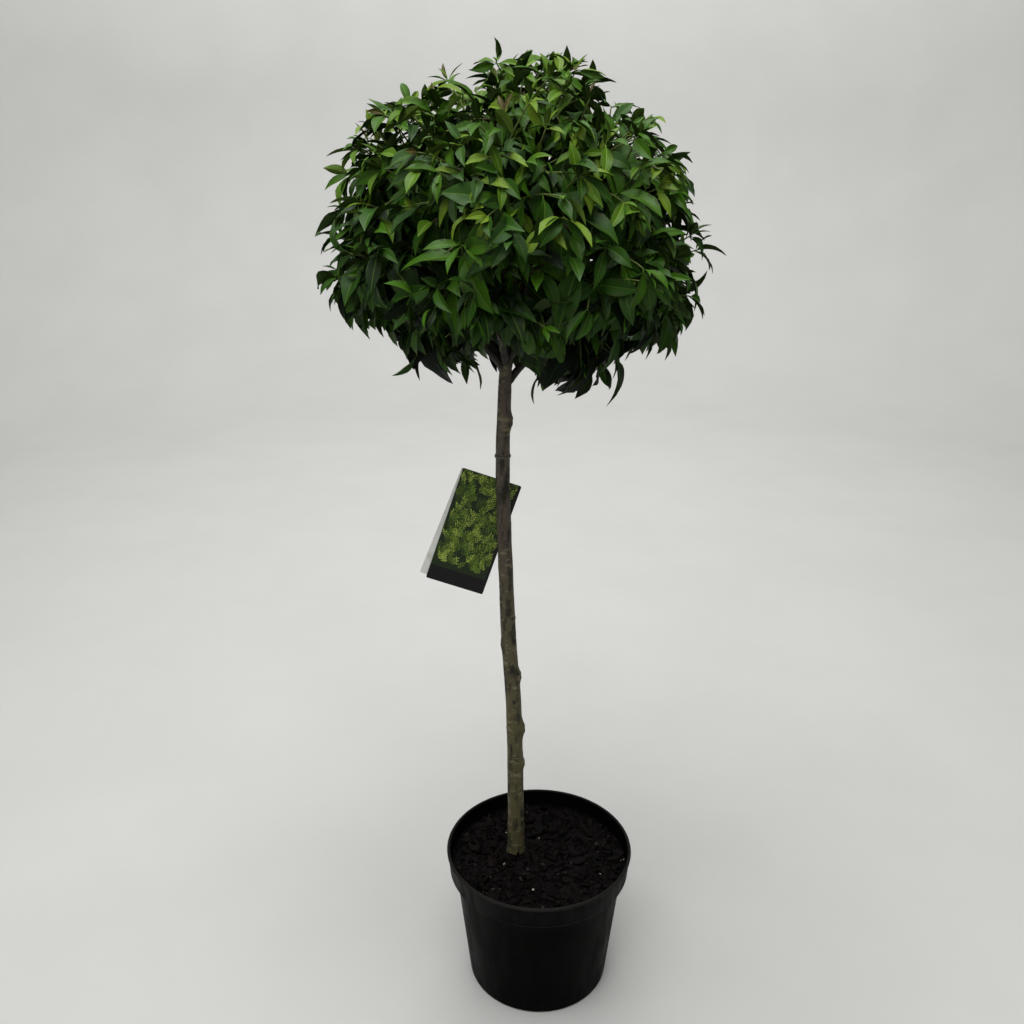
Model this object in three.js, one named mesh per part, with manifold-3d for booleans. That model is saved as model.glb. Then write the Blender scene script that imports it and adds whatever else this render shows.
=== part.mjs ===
// A standard lollipop topiary in its nursery pot: a round leafy head on a clear, pruned stem.
// Millimetres, +Z up. The origin is the centre of the pot's flat underside, and -Y faces the viewer.

import * as THREE from 'three';
import { mergeVertices } from 'three/addons/utils/BufferGeometryUtils.js';
import Module from 'manifold-3d';

const wasm = await Module();
wasm.setup();

const { Vector3 } = THREE;
const UP = new Vector3(0, 0, 1);
const FULL_TURN = 2 * Math.PI;
const GOLDEN_ANGLE = Math.PI * (3 - Math.sqrt(5));

// Neighbouring solids stay this far apart.
const GAP = 0.3;

// Joining leaves no edge shorter than this.
const SHORTEST_EDGE = 0.05;

// The pot: a black ten-litre container with a collar under a rolled rim.
const RIM_RADIUS = 140;
const POT_HEIGHT = 224;
const BASE_RADIUS = 107;
const WALL = 2.2;
const FOOT_CHAMFER = 4;
const COLLAR_HEIGHT = 36;
const COLLAR_STEP = 9;
const COLLAR_CHAMFER = 1.2;
const LIP_RADIUS = 2.6;
const LIP_FROM = -0.35 * Math.PI;
const LIP_STEPS = 5;
const POT_SEGMENTS = 36;
const DRAIN_SIDES = 6;
const DRAIN_HOLES = 8;
const DRAIN_RADIUS = 7;
const DRAIN_CIRCLE = 80;

// The compost: it fills the pot to a little below the rim, and falls away towards the wall.
const COMPOST_LEVEL = 200;
const COMPOST_MOUND = 3;
const COMPOST_SLOPE = 26;

// The trunk: height above the pot's underside, and offset to the right of the pot's centre.
const TRUNK_DEPTH = 12;
const TRUNK_FOOT = COMPOST_LEVEL + GAP;
const TRUNK_TOP = 1010;
const TRUNK_COURSE = [
  [TRUNK_FOOT, -34.5],
  [330, -35.7],
  [470, -39],
  [570, -45.5],
  [735, -51.5],
  [825, -53.4],
  [918, -51],
  [TRUNK_TOP, -46],
];
const TRUNK_FOOT_RADIUS = 12.6;
const TRUNK_NECK_RADIUS = 8.8;
const TRUNK_TOP_RADIUS = 6;
const NECK_HEIGHT = 930;
const FLARE_RADIUS = 2.2;
const FLARE_HEIGHT = 14;
const FLARE_LOBES = 4;
const FLARE_LOBE_DEPTH = 0.35;
const FLARE_LOBE_TURN = 0.6;
const TRUNK_SIDES = 10;
const TRUNK_STEPS = 38;
const TRUNK_SAMPLES = 120;
const HALVINGS = 30;

// Stubs where side shoots were pruned off the trunk: height, turn round the trunk from +X, size.
const STUBS = [
  { height: 364, turn: -0.1, size: 0.8 },
  { height: 424, turn: -0.2, size: 1.2 },
  { height: 474, turn: -1.5, size: 0.8 },
  { height: 511, turn: 0.1, size: 0.9 },
  { height: 607, turn: -1.0, size: 0.7 },
  { height: 560, turn: 2.2, size: 1.0 },
  { height: 300, turn: 1.9, size: 0.9 },
  { height: 890, turn: -0.2, size: 1.0 },
];
const STUB_FOOT_RADIUS = 4.6;
const STUB_TOP_RADIUS = 2.8;
const STUB_REACH = 5;
const STUB_RISE = 0.6;
const STUB_SIDES = 6;

// The head: half an ellipsoid upwards, and a flatter half downwards that draws in sooner and leans.
const HEAD_CENTRE = new Vector3(-36, TRUNK_DEPTH, 1100);
const HEAD_RADIUS = 243;
const HEAD_RISE = 238;
const HEAD_DROP = 172;
const HEAD_FULLNESS = 2;
const LOWER_FULLNESS = 1.7;
const LOWER_LEAN = 0.08;
const LONG_SHOOT_OUTLINE = 1.6;

// Rings of foliage masses: how many, how far out and how high their hearts are, and their turn.
const MASS_RINGS = [
  { name: 'lower', count: 6, radius: 118, height: 1050, turn: 0.3, boughFoot: 936, footStep: 7 },
  { name: 'upper', count: 5, radius: 96, height: 1172, turn: 0.75, boughFoot: 978, footStep: 6 },
  { name: 'top', count: 1, radius: 0, height: 1236, turn: 0, boughFoot: TRUNK_TOP, footStep: 0 },
];
const MASS_SPACING = 3;
const CORE_RADIUS = 36;
const CORE_FLATNESS = 0.85;

// The boughs: one to each mass, tapering to where it enters.
const BOUGH_FOOT_RADIUS = 5.2;
const BOUGH_TIP_RADIUS = 3.4;
const BOUGH_STOP = 60;
const BOUGH_SIDES = 6;
const BOUGH_STEPS = 4;
const BOUGH_SAMPLES = 16;
const KNEE_SHARE = 0.4;
const KNEE_RISE = 0.12;

// A curve whose middle is steeper than this takes its sides from +Y and not from straight up.
const STEEP = 0.8;

// The twigs: how a stem branches inside its mass.
const STEM_TIP_RADIUS = 2.6;
const STEM_SIDES = 4;
const STEM_STEPS = 2;
const TWIG_FOOT_RADIUS = 2.6;
const TWIG_TIP_RADIUS = 1.7;
const TWIG_SIDES = 3;
const TWIG_STEPS = 2;
const TWIG_SAMPLES = 8;
const HEAD_TWIGS = 120;
const TWIG_LIFT = 0.16;
const TWIG_FOOT_SHARE = 0.5;
const TIP_LEAF_SHARE = 0.9;
const TWIG_ROOM = 7;

// The leaves: pointed ovals that arch over, each standing for a few of the real ones.
const LEAF_LENGTH = 72;
const LEAF_WIDTH = 33;
const LEAF_THICKNESS = 2.2;
const LEAF_FOLD = 3.5;
const LEAF_ARCH = 5;
const LEAF_WIDEST_AT = 0.42;
const LEAF_SUNK = 1.5;
const LEAVES_PER_TWIG = 4;
const FIRST_LEAF_AT = 0.45;
const LEAF_SMALLEST = 0.8;
const LEAF_FORWARD = 0.4;
const LEAF_OUTWARD = 0.3;
const LEAF_DROOP_LOW = 1;
const LEAF_DROOP_HIGH = 0.2;
const TIP_LEAF_DROOP = 0.5;
const LEAF_FACE_RISE = 0.6;
const LIMB_CLEARANCE = 1.5;
const TWIG_CLEARANCE = 16;
const LEAF_CLEARANCE = 10;
const LEAF_SAMPLES = 6;
const BLADE_SAMPLE = 2;
const LEAF_TRIES = 5;
const LEAF_LIFT = 0.35;
const LEAF_SHRINK = 0.06;

// Long shoots that stand out of the head's outline: turn round the head from +X, and where they end.
const LONG_SHOOTS = [
  { name: 'left_high', turn: 3.14, out: 243, height: 1216 },
  { name: 'left_middle', turn: 3.1, out: 252, height: 1112 },
  { name: 'left_top', turn: 3.3, out: 128, height: 1314 },
  { name: 'crest', turn: 0, out: 5, height: 1340 },
  { name: 'crest_right', turn: -0.1, out: 62, height: 1338 },
  { name: 'right_top', turn: 0.05, out: 115, height: 1326 },
  { name: 'right_middle', turn: 0, out: 251, height: 1082 },
  { name: 'right_low', turn: -0.05, out: 250, height: 1030 },
  { name: 'right_hanging', turn: 0.1, out: 236, height: 992 },
  { name: 'right_underside', turn: -0.3, out: 118, height: 916 },
  { name: 'left_underside', turn: 3.3, out: 108, height: 944 },
];

// The hang label: a tall card behind the trunk with a plain leaf behind it, on a strap.
const LABEL_WIDTH = 83;
const LABEL_HEIGHT = 170;
const LABEL_THICKNESS = 0.8;
const LABEL_TILT = 18.8 * Math.PI / 180;
const LABEL_LEAF_TILT = 3 * Math.PI / 180;
const LABEL_LEAF_WIDTH = 81.2;
const LABEL_LEAF_DROP = 5;
const LABEL_CENTRE = new Vector3(-94.7, 0, 727.5);
const STRAP_HEIGHT = 842;
const STRAP_WIDTH = 3.2;
const STRAP_THICKNESS = 1;
const STRAP_SIDES = 12;
const TONGUE_WIDTH = 9;
const TONGUE_FOOT = 786;
const TONGUE_OFFSET = -50;

// Colours, with the finish that goes with each.
const FINISH = {
  pot: { color: 0x0d0e0d, roughness: 0.42, metalness: 0 },
  compost: { color: 0x1f1714, roughness: 0.95, metalness: 0 },
  bark: { color: 0x4a4538, roughness: 0.85, metalness: 0 },
  bough: { color: 0x423d30, roughness: 0.8, metalness: 0 },
  foliage: { color: 0x2c4a18, roughness: 0.45, metalness: 0 },
  label: { color: 0x3d5a22, roughness: 0.35, metalness: 0 },
  labelLeaf: { color: 0xd9dbd6, roughness: 0.5, metalness: 0 },
  strap: { color: 0x2a281f, roughness: 0.55, metalness: 0 },
};

const WORD = 2 ** 32;

/** A seeded stream of numbers from 0 to 1, the same on every run. */
function seededRandom(seed) {
  let state = seed >>> 0;
  return () => {
    state = (state + 0x6d2b79f5) >>> 0;
    let mixed = Math.imul(state ^ (state >>> 15), state | 1);
    mixed ^= mixed + Math.imul(mixed ^ (mixed >>> 7), mixed | 61);
    return ((mixed ^ (mixed >>> 14)) >>> 0) / WORD;
  };
}

function lerp(from, to, share) {
  return from + (to - from) * share;
}

function smoothstep(share) {
  const held = Math.min(1, Math.max(0, share));
  return held * held * (3 - 2 * held);
}

/** A geometry's triangles, with vertices at one place merged and collapsed triangles dropped. */
function mergedTriangles(geometry) {
  const bare = geometry.index ? geometry.toNonIndexed() : geometry.clone();
  bare.deleteAttribute('normal');
  bare.deleteAttribute('uv');
  const merged = mergeVertices(bare, 1e-3);
  const corners = merged.index.array;
  const triVerts = [];
  for (let i = 0; i < corners.length; i += 3) {
    const [a, b, c] = [corners[i], corners[i + 1], corners[i + 2]];
    if (a !== b && b !== c && c !== a) triVerts.push(a, b, c);
  }
  return { vertProperties: new Float32Array(merged.attributes.position.array), triVerts };
}

/** A closed geometry as a solid that can be joined or cut. */
function solidOf(geometry) {
  const { vertProperties, triVerts } = mergedTriangles(geometry);
  const mesh = new wasm.Mesh({ numProp: 3, vertProperties, triVerts: new Uint32Array(triVerts) });
  return new wasm.Manifold(mesh);
}

/** Whether a solid is still one body, with two faces at each edge, once its numbers are rounded. */
function isOneBody(solid) {
  const geometry = geometryOf(solid);
  const { vertProperties, triVerts } = mergedTriangles(geometry);
  const vertexCount = vertProperties.length / 3;
  const facesAt = new Map();
  for (let i = 0; i < triVerts.length; i += 3) {
    for (let j = 0; j < 3; j += 1) {
      const from = triVerts[i + j];
      const to = triVerts[i + (j + 1) % 3];
      const edge = Math.min(from, to) * vertexCount + Math.max(from, to);
      facesAt.set(edge, (facesAt.get(edge) ?? 0) + 1);
    }
  }
  const paired = [...facesAt.values()].every((faces) => faces === 2);
  return paired && solidOf(geometry).decompose().length === 1;
}

/** Joins pieces to a solid, leaving out any that would hang loose or seal a pocket. */
function joinPieces(solid, pieces) {
  const joined = wasm.Manifold.union([solid, ...pieces]).simplify(SHORTEST_EDGE);
  if (isOneBody(joined)) return joined;
  if (pieces.length === 1) return solid;
  return pieces.reduce((grown, piece) => joinPieces(grown, [piece]), solid);
}

/** The largest of a solid's separate bodies. */
function largestBody(solid) {
  return solid.decompose().reduce((best, body) => (body.volume() > best.volume() ? body : best));
}

/** A solid back as a geometry with one normal per face. */
function geometryOf(solid) {
  const mesh = solid.getMesh();
  const geometry = new THREE.BufferGeometry();
  geometry.setAttribute('position', new THREE.BufferAttribute(new Float32Array(mesh.vertProperties), 3));
  geometry.setIndex(new THREE.BufferAttribute(new Uint32Array(mesh.triVerts), 1));
  const flat = geometry.toNonIndexed();
  flat.computeVertexNormals();
  return flat;
}

/** A ring of profile points [radius, height] turned round the Z axis. */
function turned(profile, segments) {
  const points = profile.map(([radius, height]) => new THREE.Vector2(radius, height));
  const geometry = new THREE.LatheGeometry(points, segments);
  geometry.rotateX(Math.PI / 2);
  return geometry;
}

/**
 * A limb round a curve: a cylinder whose rings follow the curve, each with its own radius.
 * radiusAt(share, turn) is the radius at a share of the length, at a turn round the limb.
 * Rings of a level limb stay horizontal, so that its foot is a flat cut.
 */
function limb(curve, radiusAt, sides, steps, level = false) {
  const geometry = new THREE.CylinderGeometry(1, 1, 1, sides, steps);
  const position = geometry.attributes.position;
  for (let i = 0; i < position.count; i += 1) {
    const share = 0.5 + position.getY(i);
    const x = position.getX(i);
    const z = position.getZ(i);
    const isRim = Math.hypot(x, z) > 0.5;
    const turn = Math.atan2(z, x);
    const { side, front } = frameAt(curve, share, level);
    const radius = isRim ? radiusAt(share, turn) : 0;
    const point = curve.getPoint(share)
      .addScaledVector(side, radius * Math.cos(turn))
      .addScaledVector(front, radius * Math.sin(turn));
    position.setXYZ(i, point.x, point.y, point.z);
  }
  return geometry;
}

/** The point at a share of a faceted limb's length, on the straight runs between its rings. */
function pointOnLimb(curve, share, steps) {
  const ring = Math.min(steps - 1, Math.floor(share * steps));
  const from = curve.getPoint(ring / steps);
  const to = curve.getPoint((ring + 1) / steps);
  return from.lerp(to, share * steps - ring);
}

/** Two directions across a curve, turned from one reference for the whole of the curve. */
function frameAt(curve, share, level) {
  const along = level ? UP.clone() : curve.getTangent(share);
  const steep = Math.abs(curve.getTangent(0.5).z) > STEEP;
  const reference = steep ? new Vector3(0, 1, 0) : UP;
  const side = reference.clone().cross(along).normalize();
  const front = side.clone().cross(along).normalize();
  return { side, front };
}

/** Points and radii along a limb, which leaves and twigs keep clear of. */
function limbSamples(curve, radiusAt, count) {
  const samples = [];
  for (let i = 0; i <= count; i += 1) {
    const share = i / count;
    samples.push({ point: curve.getPoint(share), radius: radiusAt(share, 0) });
  }
  return samples;
}

// The pot's wall meets the collar at the shoulder.
const COLLAR_RADIUS = RIM_RADIUS - 2 * LIP_RADIUS + WALL / 2;
const COLLAR_FOOT = POT_HEIGHT - COLLAR_HEIGHT;
const SHOULDER_RADIUS = COLLAR_RADIUS - COLLAR_STEP;
const POT_FLOOR = FOOT_CHAMFER + WALL;

/** The pot: one turned shell with drain holes through its floor. */
function potSolid() {
  const lip = [];
  for (let i = 0; i <= LIP_STEPS; i += 1) {
    const angle = lerp(LIP_FROM, Math.PI, i / LIP_STEPS);
    lip.push([
      RIM_RADIUS - LIP_RADIUS + LIP_RADIUS * Math.cos(angle),
      POT_HEIGHT - LIP_RADIUS + LIP_RADIUS * Math.sin(angle),
    ]);
  }
  const profile = [
    [0, 0],
    [BASE_RADIUS - FOOT_CHAMFER, 0],
    [BASE_RADIUS, FOOT_CHAMFER],
    [SHOULDER_RADIUS, COLLAR_FOOT],
    [COLLAR_RADIUS - COLLAR_CHAMFER, COLLAR_FOOT + COLLAR_CHAMFER / 2],
    ...lip,
    [COLLAR_RADIUS - WALL, COLLAR_FOOT + WALL + COLLAR_CHAMFER / 2],
    [SHOULDER_RADIUS - WALL, COLLAR_FOOT + WALL],
    [BASE_RADIUS - WALL, POT_FLOOR],
    [0, POT_FLOOR],
  ];
  let pot = solidOf(turned(profile, POT_SEGMENTS));
  const drillLength = 4 * FOOT_CHAMFER;
  for (let i = 0; i < DRAIN_HOLES; i += 1) {
    const turn = FULL_TURN * (i + 0.5) / DRAIN_HOLES;
    const drill = new THREE.CylinderGeometry(DRAIN_RADIUS, DRAIN_RADIUS, drillLength, DRAIN_SIDES);
    drill.rotateX(Math.PI / 2);
    drill.translate(DRAIN_CIRCLE * Math.cos(turn), DRAIN_CIRCLE * Math.sin(turn), 0);
    pot = pot.subtract(solidOf(drill));
  }
  return pot;
}

/** The compost: it keeps a small gap to the pot's wall, floor and inner ledge. */
function compostSolid() {
  const spare = WALL + 2 * GAP;
  const edge = COLLAR_RADIUS - spare;
  const ledge = COLLAR_FOOT + spare;
  const profile = [
    [0, POT_FLOOR + GAP],
    [BASE_RADIUS - spare, POT_FLOOR + GAP],
    [SHOULDER_RADIUS - spare, ledge],
    [edge, ledge + COLLAR_CHAMFER],
    [edge, COMPOST_LEVEL - COMPOST_MOUND],
    [edge - COMPOST_SLOPE, COMPOST_LEVEL],
    [0, COMPOST_LEVEL],
  ];
  return solidOf(turned(profile, POT_SEGMENTS));
}

const trunkCurve = new THREE.CatmullRomCurve3(
  TRUNK_COURSE.map(([height, offset]) => new Vector3(offset, TRUNK_DEPTH, height)),
);

/** The trunk's even taper below its neck, and the quicker one inside the head. */
function trunkTaper(height) {
  if (height > NECK_HEIGHT) {
    const headShare = (height - NECK_HEIGHT) / (TRUNK_TOP - NECK_HEIGHT);
    return lerp(TRUNK_NECK_RADIUS, TRUNK_TOP_RADIUS, headShare);
  }
  const stemShare = (height - TRUNK_FOOT) / (NECK_HEIGHT - TRUNK_FOOT);
  return lerp(TRUNK_FOOT_RADIUS, TRUNK_NECK_RADIUS, stemShare);
}

/** The trunk's radius with its root flare, which has a few lobes. */
function trunkRadius(share, turn) {
  const height = trunkCurve.getPoint(share).z;
  const lobes = 1 + FLARE_LOBE_DEPTH * Math.cos(FLARE_LOBES * turn + FLARE_LOBE_TURN);
  const flare = FLARE_RADIUS * lobes * Math.exp(-(height - TRUNK_FOOT) / FLARE_HEIGHT);
  return trunkTaper(height) + flare;
}

/** The point of the trunk's centre line at a height. */
function trunkCentre(height) {
  let low = 0;
  let high = 1;
  for (let i = 0; i < HALVINGS; i += 1) {
    const middle = (low + high) / 2;
    if (trunkCurve.getPoint(middle).z < height) low = middle;
    else high = middle;
  }
  return trunkCurve.getPoint(low);
}

/** The trunk, or the room that it takes up when it is swollen by a gap. */
function trunkSolid(swell) {
  const radiusAt = (share, turn) => trunkRadius(share, turn) + swell;
  return solidOf(limb(trunkCurve, radiusAt, TRUNK_SIDES, TRUNK_STEPS, true));
}

/** A healed stub: a short cone from the trunk's centre line out through its bark. */
function stubSolid(stub) {
  const outward = new Vector3(Math.cos(stub.turn), Math.sin(stub.turn), STUB_RISE).normalize();
  const centre = trunkCentre(stub.height);
  const length = trunkTaper(stub.height) + STUB_REACH * stub.size;
  const cone = new THREE.CylinderGeometry(
    STUB_TOP_RADIUS * stub.size,
    STUB_FOOT_RADIUS * stub.size,
    length,
    STUB_SIDES,
  );
  cone.translate(0, length / 2, 0);
  cone.applyQuaternion(new THREE.Quaternion().setFromUnitVectors(new Vector3(0, 1, 0), outward));
  cone.translate(centre.x, centre.y, centre.z);
  return solidOf(cone);
}

/** The masses, each with its heart and the bough that leads to it. */
function layOutMasses() {
  const masses = [];
  for (const ring of MASS_RINGS) {
    for (let i = 0; i < ring.count; i += 1) {
      const turn = ring.turn + FULL_TURN * i / ring.count;
      const heart = new Vector3(
        HEAD_CENTRE.x + ring.radius * Math.cos(turn),
        HEAD_CENTRE.y + ring.radius * Math.sin(turn),
        ring.height,
      );
      const name = ring.count === 1 ? ring.name : `${ring.name}_${i + 1}`;
      const foot = trunkCentre(ring.boughFoot + ring.footStep * i);
      masses.push({ name, heart, foot, seed: masses.length + 1 });
    }
  }
  return masses;
}

/** A bough's curve: it leaves the trunk steeply and stops short of its mass's heart. */
function boughCurve(mass) {
  const { foot, heart } = mass;
  const run = heart.clone().sub(foot);
  const stop = heart.clone().addScaledVector(run.clone().normalize(), -BOUGH_STOP);
  const knee = foot.clone().addScaledVector(run, KNEE_SHARE);
  knee.z += KNEE_RISE * run.length();
  return new THREE.QuadraticBezierCurve3(foot, knee, stop);
}

function boughRadius(share) {
  return lerp(BOUGH_FOOT_RADIUS, BOUGH_TIP_RADIUS, share);
}

function boughSolid(mass, swell) {
  const radiusAt = (share) => boughRadius(share) + swell;
  return solidOf(limb(mass.bough, radiusAt, BOUGH_SIDES, BOUGH_STEPS));
}

/** The length of a pair of sides by the rule that rounds the head: less fullness draws it in sooner. */
function roundedLength(across, up) {
  const fullness = up > 0 ? HEAD_FULLNESS : LOWER_FULLNESS;
  return (across ** fullness + Math.abs(up) ** fullness) ** (1 / fullness);
}

/** The head's middle at a height, which leans to the right below its centre. */
function headMiddle(height) {
  const lean = LOWER_LEAN * Math.max(0, HEAD_CENTRE.z - height);
  return new Vector3(HEAD_CENTRE.x + lean, HEAD_CENTRE.y, height);
}

/** How far outside the head's outline a point is: below 1 is inside. */
function outlineShare(point) {
  const rise = point.z - HEAD_CENTRE.z;
  const up = rise / (rise > 0 ? HEAD_RISE : HEAD_DROP);
  return roundedLength(point.distanceTo(headMiddle(point.z)) / HEAD_RADIUS, up);
}

/** The mass whose heart is nearest to a point. */
function nearestMass(point, masses) {
  return masses.reduce((best, mass) => (
    mass.heart.distanceTo(point) < best.heart.distanceTo(point) ? mass : best
  ));
}

/** Whether a point is on a mass's own side of the planes midway to the other masses. */
function onOwnSide(point, mass, masses) {
  return masses.every((other) => {
    if (other === mass) return true;
    const towards = other.heart.clone().sub(mass.heart);
    const halfway = towards.length() / 2;
    const reach = point.clone().sub(mass.heart).dot(towards.normalize());
    return reach < halfway - MASS_SPACING / 2;
  });
}

/** Whether a point keeps to a mass's space: under the outline, and on its own side. */
function inSpace(point, mass, masses, outline) {
  return outlineShare(point) < outline && onOwnSide(point, mass, masses);
}

/** Whether a point has this much room to every limb. */
function clearOfLimbs(point, room, samples) {
  return samples.every((sample) => point.distanceTo(sample.point) > sample.radius + room);
}

/** A leaf's own directions: along it, across it, and out of its upper face, which turns up and out. */
function leafFrame(root, direction) {
  const along = direction.clone().normalize();
  const light = root.clone().sub(HEAD_CENTRE).normalize().addScaledVector(UP, LEAF_FACE_RISE);
  const across = along.clone().cross(light).normalize();
  const face = across.clone().cross(along).normalize();
  return { along, across, face };
}

/** A leaf's six corners: root, tip, two sides, and the middle of its upper and lower face. */
function leafCorners(root, direction, scale) {
  const { along, across, face } = leafFrame(root, direction);
  const at = (lengthwise, crosswise, height) => root.clone()
    .addScaledVector(along, lengthwise * scale)
    .addScaledVector(across, crosswise * scale)
    .addScaledVector(face, height * scale);
  const widest = LEAF_LENGTH * LEAF_WIDEST_AT;
  const halfWidth = LEAF_WIDTH / 2;
  const halfThick = LEAF_THICKNESS / 2;
  return [
    at(0, 0, 0),
    at(LEAF_LENGTH, 0, 0),
    at(widest, halfWidth, LEAF_ARCH - LEAF_FOLD),
    at(widest, -halfWidth, LEAF_ARCH - LEAF_FOLD),
    at(widest, 0, LEAF_ARCH + halfThick),
    at(widest, 0, LEAF_ARCH - halfThick),
  ];
}

function leafSolid(corners) {
  const [root, tip, right, left, upper, lower] = corners;
  const faces = [
    [root, right, upper], [root, upper, left], [tip, upper, right], [tip, left, upper],
    [root, lower, right], [root, left, lower], [tip, right, lower], [tip, lower, left],
  ];
  const geometry = new THREE.BufferGeometry();
  const points = faces.flat().flatMap((corner) => corner.toArray());
  geometry.setAttribute('position', new THREE.Float32BufferAttribute(points, 3));
  return solidOf(geometry);
}

/** A leaf where the space takes one, or null where it would leave the space or touch a limb. */
function growLeaf(root, direction, scale, outline, mass, masses, limbs) {
  const corners = leafCorners(root, direction, scale);
  const [, tip] = corners;
  const fits = corners.slice(1).every((corner) => inSpace(corner, mass, masses, outline));
  if (!fits) return null;
  const midrib = [];
  for (let i = 0; i <= LEAF_SAMPLES; i += 1) {
    const share = i / LEAF_SAMPLES;
    const point = root.clone().lerp(tip, share);
    const room = (LEAF_WIDTH / 2) * scale * Math.sin(Math.PI * share) + LIMB_CLEARANCE;
    if (!clearOfLimbs(point, room, limbs)) return null;
    midrib.push(point);
  }
  const blade = midrib.slice(BLADE_SAMPLE);
  const crowds = (point) => mass.taken.some((other) => point.distanceTo(other) < LEAF_CLEARANCE);
  if (blade.some(crowds)) return null;
  mass.taken.push(...blade);
  return leafSolid(corners);
}

/** How much leaves droop at a point: least at the top of the head. */
function droopAt(point) {
  const headShare = (point.z - (HEAD_CENTRE.z - HEAD_DROP)) / (HEAD_DROP + HEAD_RISE);
  return lerp(LEAF_DROOP_LOW, LEAF_DROOP_HIGH, smoothstep(headShare));
}

/** A leaf's direction: square out of one of its twig's faces, then drooping, less where it is lifted. */
function leafDirection(curve, share, place, lift) {
  const { side, front } = frameAt(curve, share, false);
  const turn = FULL_TURN * (place + 0.25) / TWIG_SIDES;
  const root = curve.getPoint(share);
  const outward = root.clone().sub(HEAD_CENTRE).normalize();
  const droop = droopAt(root) - lift;
  return curve.getTangent(share).multiplyScalar(LEAF_FORWARD)
    .addScaledVector(side, Math.cos(turn))
    .addScaledVector(front, Math.sin(turn))
    .addScaledVector(outward, LEAF_OUTWARD)
    .addScaledVector(UP, -droop)
    .normalize();
}

/** A twig from a start to an end, bowed upwards in its middle. */
function twigCurve(start, end, lift) {
  const middle = start.clone().lerp(end, 0.5);
  middle.z += lift * start.distanceTo(end);
  return new THREE.QuadraticBezierCurve3(start, middle, end);
}

function twigRadius(share) {
  return lerp(TWIG_FOOT_RADIUS, TWIG_TIP_RADIUS, share);
}

/** Whether a twig's curve keeps to its mass's space, off the limbs and away from the mass's other twigs. */
function twigFits(curve, outline, mass, masses, limbs) {
  const outer = [];
  for (let i = 0; i <= TWIG_SAMPLES; i += 1) {
    const point = curve.getPoint(i / TWIG_SAMPLES);
    if (!clearOfLimbs(point, TWIG_FOOT_RADIUS + LIMB_CLEARANCE, limbs)) return false;
    if (!inSpace(point, mass, masses, outline)) return false;
    if (i > TWIG_SAMPLES / 2) outer.push(point);
  }
  const crowds = (point) => mass.twigs.some((other) => point.distanceTo(other) < TWIG_CLEARANCE);
  if (outer.some(crowds)) return false;
  mass.twigs.push(...outer);
  return true;
}

/** A twig with its leaves, the last one at its tip; a long shoot's tip leaf ends at the shoot's own end. */
function growTwig(shoot, random, mass, masses, limbs) {
  const direction = shoot.end.clone().sub(mass.heart).normalize();
  const foot = mass.heart.clone().addScaledVector(direction, CORE_RADIUS * TWIG_FOOT_SHARE);
  const curve = twigCurve(foot, shoot.end, TWIG_LIFT);
  if (!twigFits(curve, shoot.outline, mass, masses, limbs)) return [];
  const solids = [solidOf(limb(curve, twigRadius, TWIG_SIDES, TWIG_STEPS))];
  const firstPlace = Math.floor(random() * TWIG_SIDES);
  const droopingTip = curve.getTangent(1).addScaledVector(UP, -TIP_LEAF_DROOP * droopAt(shoot.end));
  const lastShare = 1 - LEAF_SUNK / curve.getLength();
  for (let i = 0; i < LEAVES_PER_TWIG; i += 1) {
    const isTip = i === LEAVES_PER_TWIG - 1;
    const share = isTip ? lastShare : lerp(FIRST_LEAF_AT, 1, i / (LEAVES_PER_TWIG - 1));
    const root = pointOnLimb(curve, share, TWIG_STEPS);
    const drawn = lerp(LEAF_SMALLEST, 1, random());
    const reaching = isTip && shoot.reach;
    let leaf = null;
    for (let attempt = 0; attempt < LEAF_TRIES && !leaf; attempt += 1) {
      const onTwig = leafDirection(curve, share, firstPlace + i + attempt, LEAF_LIFT * attempt);
      const tipAim = reaching ? shoot.reach.clone().sub(root) : droopingTip;
      const length = reaching ? root.distanceTo(shoot.reach) / LEAF_LENGTH : drawn;
      const scale = length * (1 - LEAF_SHRINK * attempt);
      leaf = growLeaf(root, isTip ? tipAim : onTwig, scale, shoot.outline, mass, masses, limbs);
    }
    if (leaf) solids.push(leaf);
  }
  return solids;
}

/** Where the twigs end: evenly spread under the head's outline, each with the mass that it is nearest to. */
function shareOutTwigs(masses) {
  for (const mass of masses) mass.twigEnds = [];
  for (let i = 0; i < HEAD_TWIGS; i += 1) {
    const rise = 1 - 2 * (i + 0.5) / HEAD_TWIGS;
    const ring = Math.sqrt(1 - rise * rise);
    const turn = GOLDEN_ANGLE * i;
    const length = roundedLength(ring, rise);
    const height = HEAD_CENTRE.z + (rise > 0 ? HEAD_RISE : HEAD_DROP) * rise / length;
    const out = HEAD_RADIUS * ring / length;
    const onOutline = headMiddle(height)
      .add(new Vector3(out * Math.cos(turn), out * Math.sin(turn), 0));
    nearestMass(onOutline, masses).twigEnds.push(onOutline);
  }
}

/** A twig's end, a leaf's length under the outline and clear of the neighbouring masses. */
function pulledIn(onOutline, mass, masses) {
  const inward = HEAD_CENTRE.clone().sub(onOutline).normalize();
  const end = onOutline.clone().addScaledVector(inward, LEAF_LENGTH * TIP_LEAF_SHARE);
  for (const other of masses) {
    if (other === mass) continue;
    const towards = other.heart.clone().sub(mass.heart);
    const limit = towards.length() / 2 - MASS_SPACING / 2 - TWIG_ROOM;
    const reach = end.clone().sub(mass.heart).dot(towards.normalize());
    if (reach > limit) end.addScaledVector(towards, limit - reach);
  }
  return end;
}

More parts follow.
